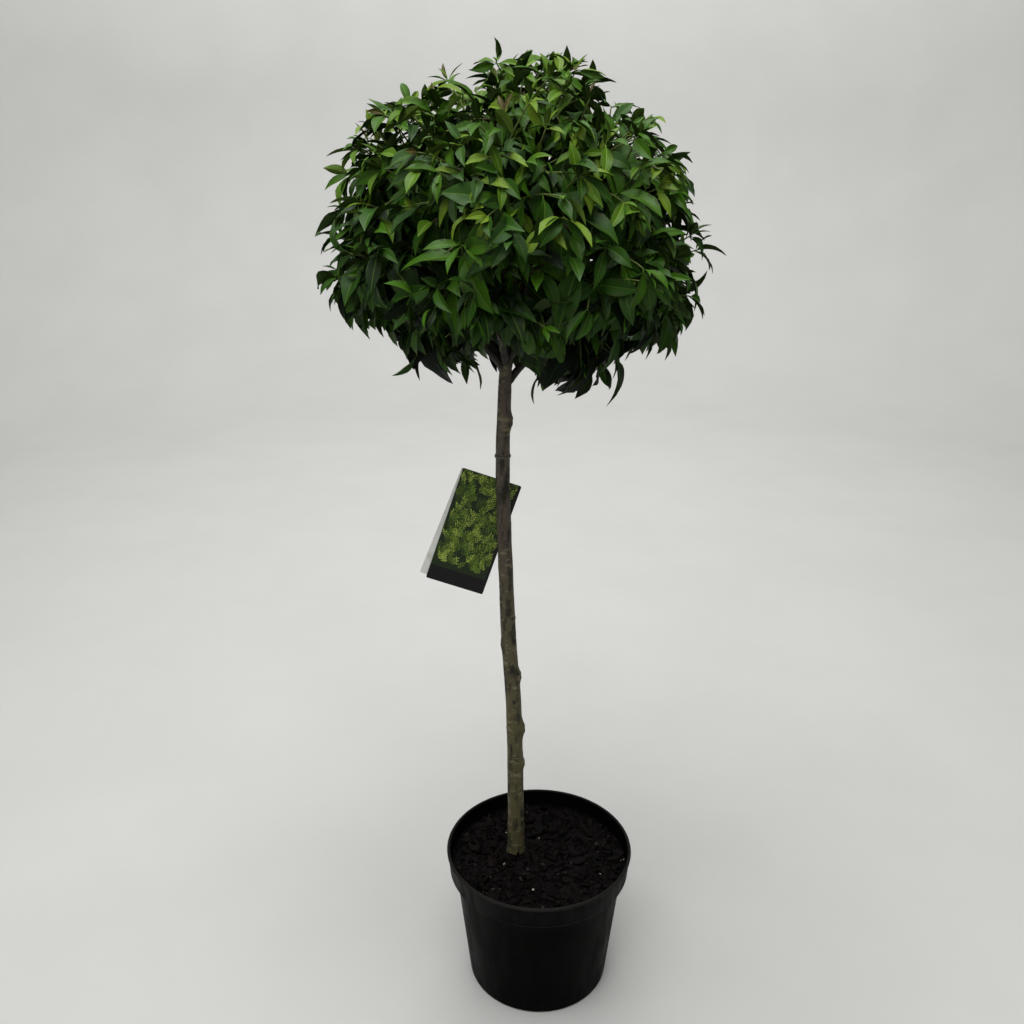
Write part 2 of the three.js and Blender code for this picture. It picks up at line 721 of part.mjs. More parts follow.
/** A foliage mass: core, stem, twigs and leaves as one solid in its own space. */
function massSolid(mass, masses, limbs) {
  const random = seededRandom(mass.seed);
  mass.taken = [];
  mass.twigs = [];
  const core = new THREE.OctahedronGeometry(CORE_RADIUS, 1);
  core.scale(1, 1, CORE_FLATNESS);
  core.translate(mass.heart.x, mass.heart.y, mass.heart.z);
  const tip = mass.bough.getPoint(1);
  const tangent = mass.bough.getTangent(1);
  const stemStart = tip.clone().addScaledVector(tangent, GAP);
  const stem = new THREE.QuadraticBezierCurve3(
    stemStart,
    stemStart.clone().addScaledVector(tangent, BOUGH_STOP / 2),
    mass.heart,
  );
  const stemRadius = (share) => lerp(BOUGH_TIP_RADIUS, STEM_TIP_RADIUS, share);
  let grown = solidOf(core).add(solidOf(limb(stem, stemRadius, STEM_SIDES, STEM_STEPS)));
  const grow = (shoot) => {
    const twig = growTwig(shoot, random, mass, masses, limbs);
    if (twig.length) grown = joinPieces(grown, twig);
  };
  for (const reach of mass.longShoots) {
    const end = reach.clone().lerp(mass.heart, LEAF_LENGTH / reach.distanceTo(mass.heart));
    grow({ end, reach, outline: LONG_SHOOT_OUTLINE });
  }
  for (const onOutline of mass.twigEnds) {
    grow({ end: pulledIn(onOutline, mass, masses), outline: 1 });
  }
  return grown;
}

/** Long shoots belong to the mass that they are nearest to. */
function shareOutLongShoots(masses) {
  for (const mass of masses) mass.longShoots = [];
  for (const shoot of LONG_SHOOTS) {
    const end = new Vector3(
      HEAD_CENTRE.x + shoot.out * Math.cos(shoot.turn),
      HEAD_CENTRE.y + shoot.out * Math.sin(shoot.turn),
      shoot.height,
    );
    nearestMass(end, masses).longShoots.push(end);
  }
}

/** One card of the label, tilted about its hanging corner; its top edge may start a little under that. */
function cardGeometry(width, drop, tilt, front) {
  const card = new THREE.BoxGeometry(width, LABEL_THICKNESS, LABEL_HEIGHT - drop);
  card.translate(-width / 2, LABEL_THICKNESS / 2, -(LABEL_HEIGHT + drop) / 2);
  card.rotateY(tilt);
  const corner = new Vector3(LABEL_WIDTH / 2, 0, LABEL_HEIGHT / 2);
  corner.applyAxisAngle(new Vector3(0, 1, 0), LABEL_TILT).add(LABEL_CENTRE);
  card.translate(corner.x, front, corner.z);
  return card;
}

/** The strap: a ring round the trunk with a tongue that reaches down behind it to the card. */
function strapSolid(tongueFront) {
  const centre = trunkCentre(STRAP_HEIGHT);
  const inner = (trunkTaper(STRAP_HEIGHT) + 2 * GAP) / Math.cos(Math.PI / STRAP_SIDES);
  const outer = inner + STRAP_THICKNESS;
  const half = STRAP_WIDTH / 2;
  const section = [[inner, -half], [outer, -half], [outer, half], [inner, half], [inner, -half]];
  const ring = turned(section, STRAP_SIDES);
  ring.translate(centre.x, centre.y, STRAP_HEIGHT);
  const tongueHeight = STRAP_HEIGHT + half - TONGUE_FOOT;
  const tongue = new THREE.BoxGeometry(TONGUE_WIDTH, STRAP_THICKNESS, tongueHeight);
  tongue.translate(TONGUE_OFFSET, tongueFront + STRAP_THICKNESS / 2, TONGUE_FOOT + tongueHeight / 2);
  return solidOf(ring).add(solidOf(tongue));
}

const topiary = new THREE.Group();

function addPart(name, geometry, finish) {
  const mesh = new THREE.Mesh(geometry, new THREE.MeshStandardMaterial(finish));
  mesh.name = name;
  topiary.add(mesh);
  return mesh;
}

addPart('pot', geometryOf(potSolid()), FINISH.pot);
addPart('compost', geometryOf(compostSolid()), FINISH.compost);

const trunk = STUBS.reduce((solid, stub) => solid.add(stubSolid(stub)), trunkSolid(0));
addPart('trunk', geometryOf(trunk), FINISH.bark);

const masses = layOutMasses();
const limbs = limbSamples(trunkCurve, trunkRadius, TRUNK_SAMPLES);
for (const mass of masses) {
  mass.bough = boughCurve(mass);
  limbs.push(...limbSamples(mass.bough, boughRadius, BOUGH_SAMPLES));
}
let room = trunkSolid(GAP);
for (const mass of masses) {
  const bough = largestBody(boughSolid(mass, 0).subtract(room));
  addPart(`bough_${mass.name}`, geometryOf(bough), FINISH.bough);
  room = room.add(boughSolid(mass, GAP));
}
shareOutTwigs(masses);
shareOutLongShoots(masses);
for (const mass of masses) {
  addPart(`foliage_${mass.name}`, geometryOf(massSolid(mass, masses, limbs)), FINISH.foliage);
}

// The label hangs against the back of the trunk, from a strap that is pulled tight round it.
const tongueFront = TRUNK_DEPTH + trunkTaper(LABEL_CENTRE.z - LABEL_HEIGHT / 2) + GAP;
const cardFront = tongueFront + STRAP_THICKNESS + GAP;
const leafFront = cardFront + LABEL_THICKNESS + GAP;
const card = cardGeometry(LABEL_WIDTH, 0, LABEL_TILT, cardFront);
const leafTilt = LABEL_TILT + LABEL_LEAF_TILT;
const backLeaf = cardGeometry(LABEL_LEAF_WIDTH, LABEL_LEAF_DROP, leafTilt, leafFront);
addPart('label_card', card, FINISH.label);
addPart('label_leaf', backLeaf, FINISH.labelLeaf);
addPart('label_strap', geometryOf(strapSolid(tongueFront)), FINISH.strap);

export default topiary;
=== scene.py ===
"""The looks of a standard lollipop topiary: a round leafy head on a clear stem, in a black nursery pot.

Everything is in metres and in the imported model's own frame: +Z up, the origin under the middle of the pot,
and -Y towards the viewer. The head grows by the same seeded rule as the solids, from the same named sizes,
and is carried on here to finer shoots and to leaves of the real size.
"""

import logging
import math
import random
from collections.abc import Callable, Sequence
from dataclasses import dataclass, field
from enum import Enum
from functools import cache

import bpy
import numpy as np
from mathutils import Matrix, Vector, noise


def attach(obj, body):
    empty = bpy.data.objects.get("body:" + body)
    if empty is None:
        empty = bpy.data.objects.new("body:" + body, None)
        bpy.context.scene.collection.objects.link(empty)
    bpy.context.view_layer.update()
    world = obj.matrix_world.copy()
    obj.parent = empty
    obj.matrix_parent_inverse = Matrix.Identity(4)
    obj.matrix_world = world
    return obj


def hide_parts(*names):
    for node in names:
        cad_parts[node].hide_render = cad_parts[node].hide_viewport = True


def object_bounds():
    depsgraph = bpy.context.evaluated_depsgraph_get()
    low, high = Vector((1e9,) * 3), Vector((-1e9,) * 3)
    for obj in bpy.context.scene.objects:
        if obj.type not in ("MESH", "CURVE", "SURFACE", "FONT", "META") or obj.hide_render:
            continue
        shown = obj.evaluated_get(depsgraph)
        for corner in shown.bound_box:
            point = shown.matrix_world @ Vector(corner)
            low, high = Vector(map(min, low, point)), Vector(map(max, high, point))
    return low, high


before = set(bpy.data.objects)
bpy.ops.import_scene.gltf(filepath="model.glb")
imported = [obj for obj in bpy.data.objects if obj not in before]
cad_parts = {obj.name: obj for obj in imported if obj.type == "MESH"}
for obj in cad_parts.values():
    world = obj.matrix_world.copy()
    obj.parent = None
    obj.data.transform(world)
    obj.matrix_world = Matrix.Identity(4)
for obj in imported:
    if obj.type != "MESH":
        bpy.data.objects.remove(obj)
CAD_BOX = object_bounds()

log = logging.getLogger("topiary")

UP = Vector((0, 0, 1))
FULL_TURN = 2 * math.pi
GOLDEN_ANGLE = math.pi * (3 - math.sqrt(5))
BODY = "root"

# A curve whose middle is steeper than this takes its sides from +Y and not from straight up.
STEEP = 0.8

# A leaf's direction turns by its bend times this power of the share along it.
BEND_POWER = 1.25

Point = tuple[float, float, float]
Faces = list[list[int]]
Range = tuple[float, float]


def lerp(low: float, high: float, share: float) -> float:
    """Returns the value at a share of the way from low to high."""
    return low + (high - low) * share


def smoothstep(share: float) -> float:
    """Returns a share eased at both ends, held between 0 and 1."""
    held = min(1.0, max(0.0, share))
    return held * held * (3 - 2 * held)


class Slot(Enum):
    """The material slots."""

    POT = "pot"
    COMPOST = "compost"
    BARK = "bark"
    BOUGH = "bough"
    FOLIAGE = "foliage"
    LABEL = "label"
    LABEL_LEAF = "label_leaf"
    STRAP = "strap"


# Meshes from rings of points


def turns(sides: int) -> list[float]:
    """Returns the turns of a ring's points."""
    return [FULL_TURN * j / sides for j in range(sides)]


def hoop(radius: float, height: float, sides: int) -> list[Point]:
    """Returns a level ring of points round the Z axis."""
    return [(radius * math.cos(turn), radius * math.sin(turn), height) for turn in turns(sides)]


def band(rings: int, sides: int, flip: bool = False, loop: bool = False) -> Faces:
    """Returns the faces between a stack's rings, which face outwards where points turn left as rings rise.

    Args:
        rings: how many rings there are.
        sides: how many points each has.
        flip: whether the faces are turned over.
        loop: whether the last ring joins the first.

    Returns:
        The faces, as rows of point numbers.
    """
    faces = []
    for i in range(rings if loop else rings - 1):
        low, high = i * sides, (i + 1) % rings * sides
        for j in range(sides):
            k = (j + 1) % sides
            face = [low + j, low + k, high + k, high + j]
            faces.append(face[:1] + face[:0:-1] if flip else face)
    return faces


def closed_band(rings: int, sides: int, flip: bool = False) -> Faces:
    """Returns the faces between a stack's rings, with one more over each end.

    Args:
        rings: how many rings there are.
        sides: how many points each has.
        flip: whether the faces are turned over.

    Returns:
        The faces, as rows of point numbers.
    """
    foot = list(range(sides))
    top = [(rings - 1) * sides + j for j in foot]
    return band(rings, sides, flip) + ([foot, top[::-1]] if flip else [foot[::-1], top])


class Pieces:
    """Gathers the points and faces of many small shapes, and makes one mesh of them."""

    def __init__(self) -> None:
        """Starts with nothing gathered."""
        self.points: list[np.ndarray] = []
        self.faces: Faces = []
        self.slots: list[int] = []
        self.smooth: list[bool] = []
        self.count = 0

    def add(self, points: Sequence | np.ndarray, faces: Sequence[Sequence[int]],
            slots: int | Sequence[int] = 0, smooth: bool = True) -> None:
        """Adds one shape.

        Args:
            points: its points, one row each.
            faces: its faces, as rows of point numbers that start at 0.
            slots: the material number of all its faces, or one for each.
            smooth: whether its faces are shaded smooth.
        """
        self.faces.extend([self.count + corner for corner in row] for row in faces)
        self.slots.extend([slots] * len(faces) if isinstance(slots, int) else slots)
        self.smooth.extend([smooth] * len(faces))
        self.points.append(np.asarray(points, float))
        self.count += len(points)

    def add_stack(self, rings: Sequence[Sequence], slot: int = 0, smooth: bool = True,
                  flip: bool = False) -> None:
        """Adds a stack of rings with as many points in each, closed at both ends."""
        self.add(np.concatenate(rings), closed_band(len(rings), len(rings[0]), flip), slot, smooth)

    def add_turned(self, rings: Sequence[Sequence[Point]], foot: float, top: float | None = None,
                   flip: bool = False) -> None:
        """Adds rings round the Z axis, closed by a point on the axis at the foot and by one at the top.

        Args:
            rings: the rings, with as many points in each.
            foot: the first point's height.
            top: the last point's height, or None for a shape that stays open there.
            flip: whether its faces are turned over.
        """
        points = [(0.0, 0.0, foot), *(point for ring in rings for point in ring)]
        last, sides = len(points), len(rings[0])
        faces = []
        for j in range(sides):
            k = (j + 1) % sides
            faces.append([0, 1 + k, 1 + j])
            for low in range(1, last - sides, sides):
                faces.append([low + j, low + k, low + sides + k, low + sides + j])
            if top is not None:
                faces.append([last, last - sides + j, last - sides + k])
        if top is not None:
            points.append((0.0, 0.0, top))
        self.add(points, [face[::-1] for face in faces] if flip else faces)

    def build(self, name: str, materials: Sequence[bpy.types.Material]) -> bpy.types.Object:
        """Makes the mesh.

        Args:
            name: the piece's name.
            materials: the materials that the slots number.

        Returns:
            The new object, in the scene.
        """
        mesh = bpy.data.meshes.new(name)
        mesh.from_pydata(np.concatenate(self.points).tolist(), [], self.faces)
        for material in materials:
            mesh.materials.append(material)
        mesh.polygons.foreach_set("material_index", self.slots)
        mesh.polygons.foreach_set("use_smooth", self.smooth)
        mesh.update()
        piece = bpy.data.objects.new(name, mesh)
        bpy.context.scene.collection.objects.link(piece)
        return piece


def hand_over(piece: bpy.types.Object, slot: Slot, *nodes: str) -> None:
    """Lets a piece ride on the plant's body.

    Args:
        piece: the piece.
        slot: its material slot, which is not used.
        nodes: the solids that it stands for.
    """
    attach(piece, BODY)
    if nodes:
        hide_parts(*nodes)
    log.info("%s: %d faces, for %s", piece.name, len(piece.data.polygons), ", ".join(nodes) or "no solid")


# Curves and limbs


@dataclass(frozen=True)
class Bow:
    """A quadratic curve from a start to an end, drawn towards a pull."""

    start: Vector
    pull: Vector
    end: Vector

    def point(self, share: float) -> Vector:
        """Returns the point at a share of the curve."""
        rest = 1 - share
        return self.start * rest * rest + self.pull * 2 * share * rest + self.end * share * share

    def tangent(self, share: float) -> Vector:
        """Returns the unit direction at a share of the curve."""
        run = (self.pull - self.start) * (1 - share) + (self.end - self.pull) * share
        return run.normalized()

    def steep(self) -> bool:
        """Returns whether the curve's middle is steep."""
        return abs(self.tangent(0.5).z) > STEEP

    def length(self, steps: int = 12) -> float:
        """Returns the curve's length, measured in short runs."""
        marks = [self.point(i / steps) for i in range(steps + 1)]
        return sum((b - a).length for a, b in zip(marks, marks[1:]))


class Spline:
    """A smooth centre line through its points, with knots spaced by the square root of their distance."""

    halvings = 30

    def __init__(self, points: Sequence[Vector]) -> None:
        """Takes the points, and adds one beyond each end in line with its neighbours.

        Args:
            points: the points, from the foot up.
        """
        first = points[0] * 2 - points[1]
        last = points[-1] * 2 - points[-2]
        self.points = [first, *points, last]
        self.runs = len(points) - 1

    def point(self, share: float) -> Vector:
        """Returns a point of the line.

        Args:
            share: the share of the line, where each run between points counts alike.

        Returns:
            The point.
        """
        place = min(share, 1.0) * self.runs
        run = min(int(place), self.runs - 1)
        before, start, end, after = self.points[run:run + 4]
        weight = place - run
        gap0 = math.sqrt((start - before).length)
        gap1 = math.sqrt((end - start).length)
        gap2 = math.sqrt((after - end).length)
        leave = (start - before) / gap0 - (end - before) / (gap0 + gap1) + (end - start) / gap1
        reach = (end - start) / gap1 - (after - start) / (gap1 + gap2) + (after - end) / gap2
        leave = leave * gap1
        reach = reach * gap1
        square = (end - start) * 3 - leave * 2 - reach
        cube = (start - end) * 2 + leave + reach
        return start + leave * weight + square * weight ** 2 + cube * weight ** 3

    def at_height(self, height: float) -> Vector:
        """Returns the line's point at a height, found by halving because the line rises all the way.

        Args:
            height: the height.

        Returns:
            The point.
        """
        low, high = 0.0, 1.0
        for _ in range(self.halvings):
            middle = (low + high) / 2
            if self.point(middle).z < height:
                low = middle
            else:
                high = middle
        return self.point(low)


def sides_at(along: Vector, steep: bool) -> tuple[Vector, Vector]:
    """Returns the side and the front of a curve's direction, from one reference for the whole curve."""
    side = (Vector((0, 1, 0)) if steep else UP).cross(along).normalized()
    return side, side.cross(along).normalized()


def add_limb(pieces: Pieces, bow: Bow, radii: Range, sides: int, steps: int, slot: int = 0,
             bark: Callable[[Vector, float], float] | None = None) -> None:
    """Adds a tapering limb round a bow, closed at both ends.

    Args:
        pieces: what it is added to.
        bow: its centre line.
        radii: its radius at the start and at the end.
        sides: how many sides it has.
        steps: how many runs it has.
        slot: its material number.
        bark: how far its bark stands out, by place and share of the bow.
    """
    steep = bow.steep()
    rings = []
    for i in range(steps + 1):
        share = i / steps
        centre = bow.point(share)
        side, front = sides_at(bow.tangent(share), steep)
        radius = lerp(*radii, share)
        ring = []
        for turn in turns(sides):
            across = side * math.cos(turn) + front * math.sin(turn)
            out = bark(centre + across * radius, share) if bark else 0.0
            ring.append(centre + across * (radius + out))
        rings.append(ring)
    pieces.add_stack(rings, slot, flip=True)


# Shader nodes


Link = bpy.types.NodeSocket
Outputs = bpy.types.bpy_prop_collection
FLOAT, COLOUR, VECTOR = "NodeSocketFloat", "NodeSocketColor", "NodeSocketVector"
BLACK = (0.0, 0.0, 0.0, 1.0)


class Wiring:
    """A node tree with short ways to add nodes and join them."""

    def __init__(self, tree: bpy.types.NodeTree) -> None:
        """Takes the tree that is wired."""
        self.tree = tree

    def fill(self, node: bpy.types.Node, inputs: dict[str, object]) -> None:
        """Sets a node's inputs, or joins them to outputs.

        Args:
            node: the node.
            inputs: values or outputs for its inputs, by name with underscores for spaces, or _N by number.
        """
        for name, value in inputs.items():
            socket = node.inputs[int(name[1:]) if name[0] == "_" else name.replace("_", " ")]
            if isinstance(value, Link):
                self.tree.links.new(value, socket)
            else:
                socket.default_value = value

    def add(self, kind: str, settings: dict | None = None, **inputs: object) -> Outputs:
        """Adds a node.

        Args:
            kind: the node's type.
            settings: its attributes by name.
            inputs: what its inputs are filled with.

        Returns:
            The node's outputs.
        """
        node = self.tree.nodes.new(kind)
        for name, value in (settings or {}).items():
            setattr(node, name, value)
        self.fill(node, inputs)
        return node.outputs

    def spread(self, value: Link, settings: dict | None = None, **ends: object) -> Link:
        """Returns a value spread from one range to another, with ends named as the node's inputs are."""
        return self.add("ShaderNodeMapRange", settings, Value=value, **ends)["Result"]

    def product(self, first: object, second: object, clamp: bool = False) -> Link:
        """Returns the product of two values."""
        settings = {"operation": "MULTIPLY", "use_clamp": clamp}
        return self.add("ShaderNodeMath", settings, _0=first, _1=second)[0]

    def blend(self, mask: Link, under: object, over: object) -> Link:
        """Returns one colour laid over another by a mask."""
        return self.add("ShaderNodeMixRGB", Fac=mask, Color1=under, Color2=over)[0]


def new_group(name: str, inputs: dict[str, tuple[str, object]],
              outputs: dict[str, str]) -> tuple[bpy.types.NodeTree, Wiring, Outputs]:
    """Starts a shader node group.

    Args:
        name: the group's name.
        inputs: the socket type and usual value of each input, by name.
        outputs: the socket type of each output, by name.

    Returns:
        The group, its wiring and what it is given.
    """
    tree = bpy.data.node_groups.new(name, "ShaderNodeTree")
    for label, (kind, value) in inputs.items():
        tree.interface.new_socket(name=label, in_out="INPUT", socket_type=kind).default_value = value
    for label, kind in outputs.items():
        tree.interface.new_socket(name=label, in_out="OUTPUT", socket_type=kind)
    wiring = Wiring(tree)
    return tree, wiring, wiring.add("NodeGroupInput")


@cache
def grain_group() -> bpy.types.NodeTree:
    """Builds the shared grain effect: stretched noise as a height and as a mask between two levels.

    Returns:
        The group.
    """
    tree, wiring, given = new_group(
        "grain",
        {"Scale": (FLOAT, 50.0), "Detail": (FLOAT, 4.0), "Stretch": (VECTOR, (1, 1, 1)),
         "Low": (FLOAT, 0.4), "High": (FLOAT, 0.6)},
        {"Mask": FLOAT, "Height": FLOAT},
    )
    place = wiring.add("ShaderNodeTexCoord")["Object"]
    drawn = wiring.add("ShaderNodeVectorMath", {"operation": "MULTIPLY"}, _0=place, _1=given["Stretch"])[0]
    cloud = wiring.add("ShaderNodeTexNoise", Vector=drawn, Scale=given["Scale"], Detail=given["Detail"],
                       Roughness=0.55)["Fac"]
    mask = wiring.spread(cloud, {"interpolation_type": "SMOOTHSTEP"}, From_Min=given["Low"],
                         From_Max=given["High"])
    wiring.add("NodeGroupOutput", Mask=mask, Height=cloud)
    return tree


@cache
def dust_group() -> bpy.types.NodeTree:
    """Builds the shared dust effect: a colour that settles in patches on what faces up.

    Returns:
        The group.
    """
    tree, wiring, given = new_group(
        "dust",
        {"Colour": (COLOUR, BLACK), "Dust Colour": (COLOUR, (0.3, 0.27, 0.22, 1)),
         "Amount": (FLOAT, 0.3), "Scale": (FLOAT, 30.0), "Sides": (FLOAT, 0.3)},
        {"Colour": COLOUR},
    )
    place = wiring.add("ShaderNodeTexCoord")["Object"]
    facing = wiring.add("ShaderNodeNewGeometry")["Normal"]
    up = wiring.add("ShaderNodeSeparateXYZ", Vector=facing)["Z"]
    upward = wiring.spread(up, From_Min=0.1, From_Max=0.9, To_Min=given["Sides"])
    cloud = wiring.add("ShaderNodeTexNoise", Vector=place, Scale=given["Scale"], Detail=6.0, Roughness=0.65)
    patch = wiring.spread(cloud["Fac"], From_Min=0.42, From_Max=0.7)
    mask = wiring.product(wiring.product(upward, patch), given["Amount"], clamp=True)
    wiring.add("NodeGroupOutput", Colour=wiring.blend(mask, given["Colour"], given["Dust Colour"]))
    return tree


@cache
def edge_wear_and_highlight_group() -> bpy.types.NodeTree:
    """Builds the shared edge effect: a paler colour where the surface is sharply convex, for rubbed edges
    and, on the pot, mostly a painted highlight.

    Returns:
        The group.
    """
    tree, wiring, given = new_group(
        "edge_wear_and_highlight",
        {"Colour": (COLOUR, BLACK), "Worn Colour": (COLOUR, (0.2, 0.2, 0.2, 1)),
         "From": (FLOAT, 0.51), "To": (FLOAT, 0.56), "Amount": (FLOAT, 0.5)},
        {"Colour": COLOUR},
    )
    sharp = wiring.add("ShaderNodeNewGeometry")["Pointiness"]
    edge = wiring.spread(sharp, From_Min=given["From"], From_Max=given["To"])
    mask = wiring.product(edge, given["Amount"])
    wiring.add("NodeGroupOutput", Colour=wiring.blend(mask, given["Colour"], given["Worn Colour"]))
    return tree


class Surface:
    """A material in the making: its node tree and its shader."""

    def __init__(self, name: str, **constants: object) -> None:
        """Starts the material.

        Args:
            name: its name.
            constants: values for the shader's inputs, by name with underscores for spaces.
        """
        self.material = bpy.data.materials.new(name)
        self.material.use_nodes = True
        self.wiring = Wiring(self.material.node_tree)
        self.shader = self.material.node_tree.nodes["Principled BSDF"]
        self.feed(**constants)

    def feed(self, **sources: object) -> None:
        """Fills the shader's inputs with values or outputs."""
        self.wiring.fill(self.shader, sources)

    def place(self, effect: bpy.types.NodeTree, **inputs: object) -> Outputs:
        """Places a shared effect with this material's values, and returns its outputs."""
        return self.wiring.add("ShaderNodeGroup", {"node_tree": effect}, **inputs)

    def roughen(self, mask: Link, roughness: Range) -> None:
        """Spreads the roughness over a range by a mask."""
        self.feed(Roughness=self.wiring.spread(mask, To_Min=roughness[0], To_Max=roughness[1]))

    def bump(self, height: Link, strength: float, distance: float) -> None:
        """Feeds a height to the shader's normal."""
        node = self.wiring.add("ShaderNodeBump", Strength=strength, Distance=distance, Height=height)
        self.feed(Normal=node["Normal"])


# Finishes


Colour = tuple[float, float, float]


def linear(colour: Colour) -> tuple[float, float, float, float]:
    """Returns a screen's red, green and blue from 0 to 255 as linear light with full cover."""
    shares = (value / 255 for value in colour)
    return *(s / 12.92 if s <= 0.04045 else ((s + 0.055) / 1.055) ** 2.4 for s in shares), 1.0


@dataclass(frozen=True)
class Grain:
    """One use of the grain effect: its scale, detail, the two levels of its mask and its stretch."""

    scale: float
    detail: float
    low: float = 0.4
    high: float = 0.6
    stretch: Point = (1, 1, 1)

    def place(self, surface: Surface) -> Outputs:
        """Places it in a material, and returns its outputs."""
        return surface.place(grain_group(), Scale=self.scale, Detail=self.detail, Stretch=self.stretch,
                             Low=self.low, High=self.high)


class Finish:
    """A finish, which starts a material from its name and constants and then dresses it."""

    name: str
    level: float

    def dress(self, surface: Surface) -> None:
        """Wires the shader, as each kind of finish has it."""
        raise NotImplementedError

    def constants(self) -> dict[str, object]:
        """Returns the values of the shader's inputs that are even all over."""
        return {"Specular_IOR_Level": self.level}

    def build(self) -> bpy.types.Material:
        """Makes the material.

        Returns:
            The material.
        """
        surface = Surface(self.name, **self.constants())
        self.dress(surface)
        return surface.material


@dataclass(frozen=True)
class PlasticFinish(Finish):
    """Moulded plastic: paler on its rubbed edges, and on the pot mostly a painted highlight there; lightly
    dusty where it faces up, with scuffs in its gloss.
    """

    name: str
    plastic: Colour
    worn: Colour
    wear_and_highlight: dict[str, float]
    dust: dict[str, object]
    scuffs: Grain
    roughness: Range
    level: float = 0.5
    skin: Grain | None = None
    skin_bump: Range = (0.12, 0.0006)

    def dress(self, surface: Surface) -> None:
        """Wires the shader.

        Args:
            surface: the material in the making.
        """
        worn = surface.place(edge_wear_and_highlight_group(), Colour=linear(self.plastic), Worn_Colour=linear(self.worn),
                             **self.wear_and_highlight)["Colour"]
        surface.feed(Base_Color=surface.place(dust_group(), Colour=worn, **self.dust)["Colour"])
        surface.roughen(self.scuffs.place(surface)["Mask"], self.roughness)
        if self.skin:
            surface.bump(self.skin.place(surface)["Height"], *self.skin_bump)


# The pot's pale edge colour is mostly a painted highlight: a thin light line along the rim's lip and the
# collar's sharp edges, with a little rubbing.
POT_PLASTIC = PlasticFinish(
    "pot_plastic", plastic=(2, 2, 2), worn=(84, 82, 80), wear_and_highlight={"From": 0.515, "To": 0.55, "Amount": 0.5},
    dust={"Dust_Colour": linear((52, 46, 38)), "Amount": 0.05, "Scale": 26.0, "Sides": 0.12},
    scuffs=Grain(60.0, 8.0, 0.35, 0.7, (1, 1, 0.25)), roughness=(0.42, 0.6), level=0.03,
    skin=Grain(900.0, 2.0),
)
STRAP_PLASTIC = PlasticFinish(
    "strap_plastic", plastic=(44, 42, 34), worn=(92, 88, 74), wear_and_highlight={"Amount": 0.4},
    dust={"Amount": 0.2, "Scale": 120.0}, scuffs=Grain(220.0, 4.0), roughness=(0.45, 0.62),
)


@dataclass(frozen=True)
class MottledFinish(Finish):
    """Two tints mixed by a grain that also changes the gloss, with a fine relief or none."""

    name: str
    ground: Colour
    patch: Colour
    grain: Grain
    roughness: Range
    level: float
    relief: Grain | None = None
    bump: Range | None = None

    def dress(self, surface: Surface) -> None:
        """Wires the shader, with the relief from the mottling where it has no grain of its own.

        Args:
            surface: the material in the making.
        """
        mottling = self.grain.place(surface)
        colour = surface.wiring.blend(mottling["Mask"], linear(self.ground), linear(self.patch))
        surface.feed(Base_Color=colour)
        surface.roughen(mottling["Mask"], self.roughness)
        if self.bump:
            relief = self.relief.place(surface) if self.relief else mottling
            surface.bump(relief["Height"], *self.bump)


def compost_finish(name: str, dark: Colour, light: Colour) -> MottledFinish:
    """Returns one tint of damp, crumbly bark compost."""
    return MottledFinish(name, dark, light, Grain(240.0, 8.0, 0.38, 0.66), (0.62, 0.95), 0.06,
                         bump=(0.6, 0.002))


def card_finish(name: str, colour: Colour, soiled: Colour, roughness: Range = (0.3, 0.42)) -> MottledFinish:
    """Returns printed or plain card: an even colour with a little soiling and faint fibres."""
    return MottledFinish(name, colour, soiled, Grain(40.0, 6.0, 0.5, 0.8), roughness, 0.25,
                         relief=Grain(1400.0, 3.0), bump=(0.1, 0.0003))


@dataclass(frozen=True)
class BarkFinish(Finish):
    """Smooth young bark: streaks, bands, pores, and moss-green low down that turns grey-brown above."""

    name: str
    low: Colour
    high: Colour
    streak: Colour
    band: Colour
    pore: Colour
    turns_at: Range
    turn_wander: float = 0.3
    patches: Grain = Grain(22.0, 5.0, stretch=(1, 1, 0.4))
    streaks: Grain = Grain(110.0, 6.0, 0.44, 0.7, (1, 1, 0.3))
    bands: Grain = Grain(120.0, 5.0, 0.54, 0.68, (0.42, 0.42, 0.8))
    pores: Grain = Grain(300.0, 2.0, 0.66, 0.71, (0.45, 0.45, 1.3))
    roughness: Range = (0.62, 0.85)
    bump: Range = (0.3, 0.0008)
    level: float = 0.3

    def dress(self, surface: Surface) -> None:
        """Wires the shader.

        Args:
            surface: the material in the making.
        """
        wiring = surface.wiring
        place = wiring.add("ShaderNodeTexCoord")["Object"]
        height = wiring.add("ShaderNodeSeparateXYZ", Vector=place)["Z"]
        wander = self.patches.place(surface)["Height"]
        shifted = wiring.add("ShaderNodeMath", {"operation": "MULTIPLY_ADD"}, _0=wander, _1=self.turn_wander,
                             _2=height)[0]
        rise = wiring.spread(shifted, From_Min=self.turns_at[0], From_Max=self.turns_at[1])
        colour = wiring.blend(rise, linear(self.low), linear(self.high))
        streaks, bands, pores = (grain.place(surface) for grain in (self.streaks, self.bands, self.pores))
        for marks, tint in ((streaks, self.streak), (bands, self.band), (pores, self.pore)):
            colour = wiring.blend(marks["Mask"], colour, linear(tint))
        surface.feed(Base_Color=colour)
        surface.roughen(streaks["Mask"], self.roughness)
        surface.bump(bands["Height"], *self.bump)


@dataclass(frozen=True)
class LeafFinish(Finish):
    """One plain leaf tint, with a waxy bloom that only changes its gloss."""

    name: str
    colour: Colour
    gloss: float = 0.44
    level: float = 0.15
    bloom: float = 0.14
    wax: Grain = Grain(70.0, 3.0, 0.35, 0.65)

    def constants(self) -> dict[str, object]:
        """Returns the values of the shader's inputs that are even all over."""
        middle = self.gloss + self.bloom / 2
        return {"Base_Color": linear(self.colour), "Specular_IOR_Level": self.level, "Roughness": middle}

    def dress(self, surface: Surface) -> None:
        """Wires the shader."""
        surface.roughen(self.wax.place(surface)["Mask"], (self.gloss, self.gloss + self.bloom))


# The pot and its compost


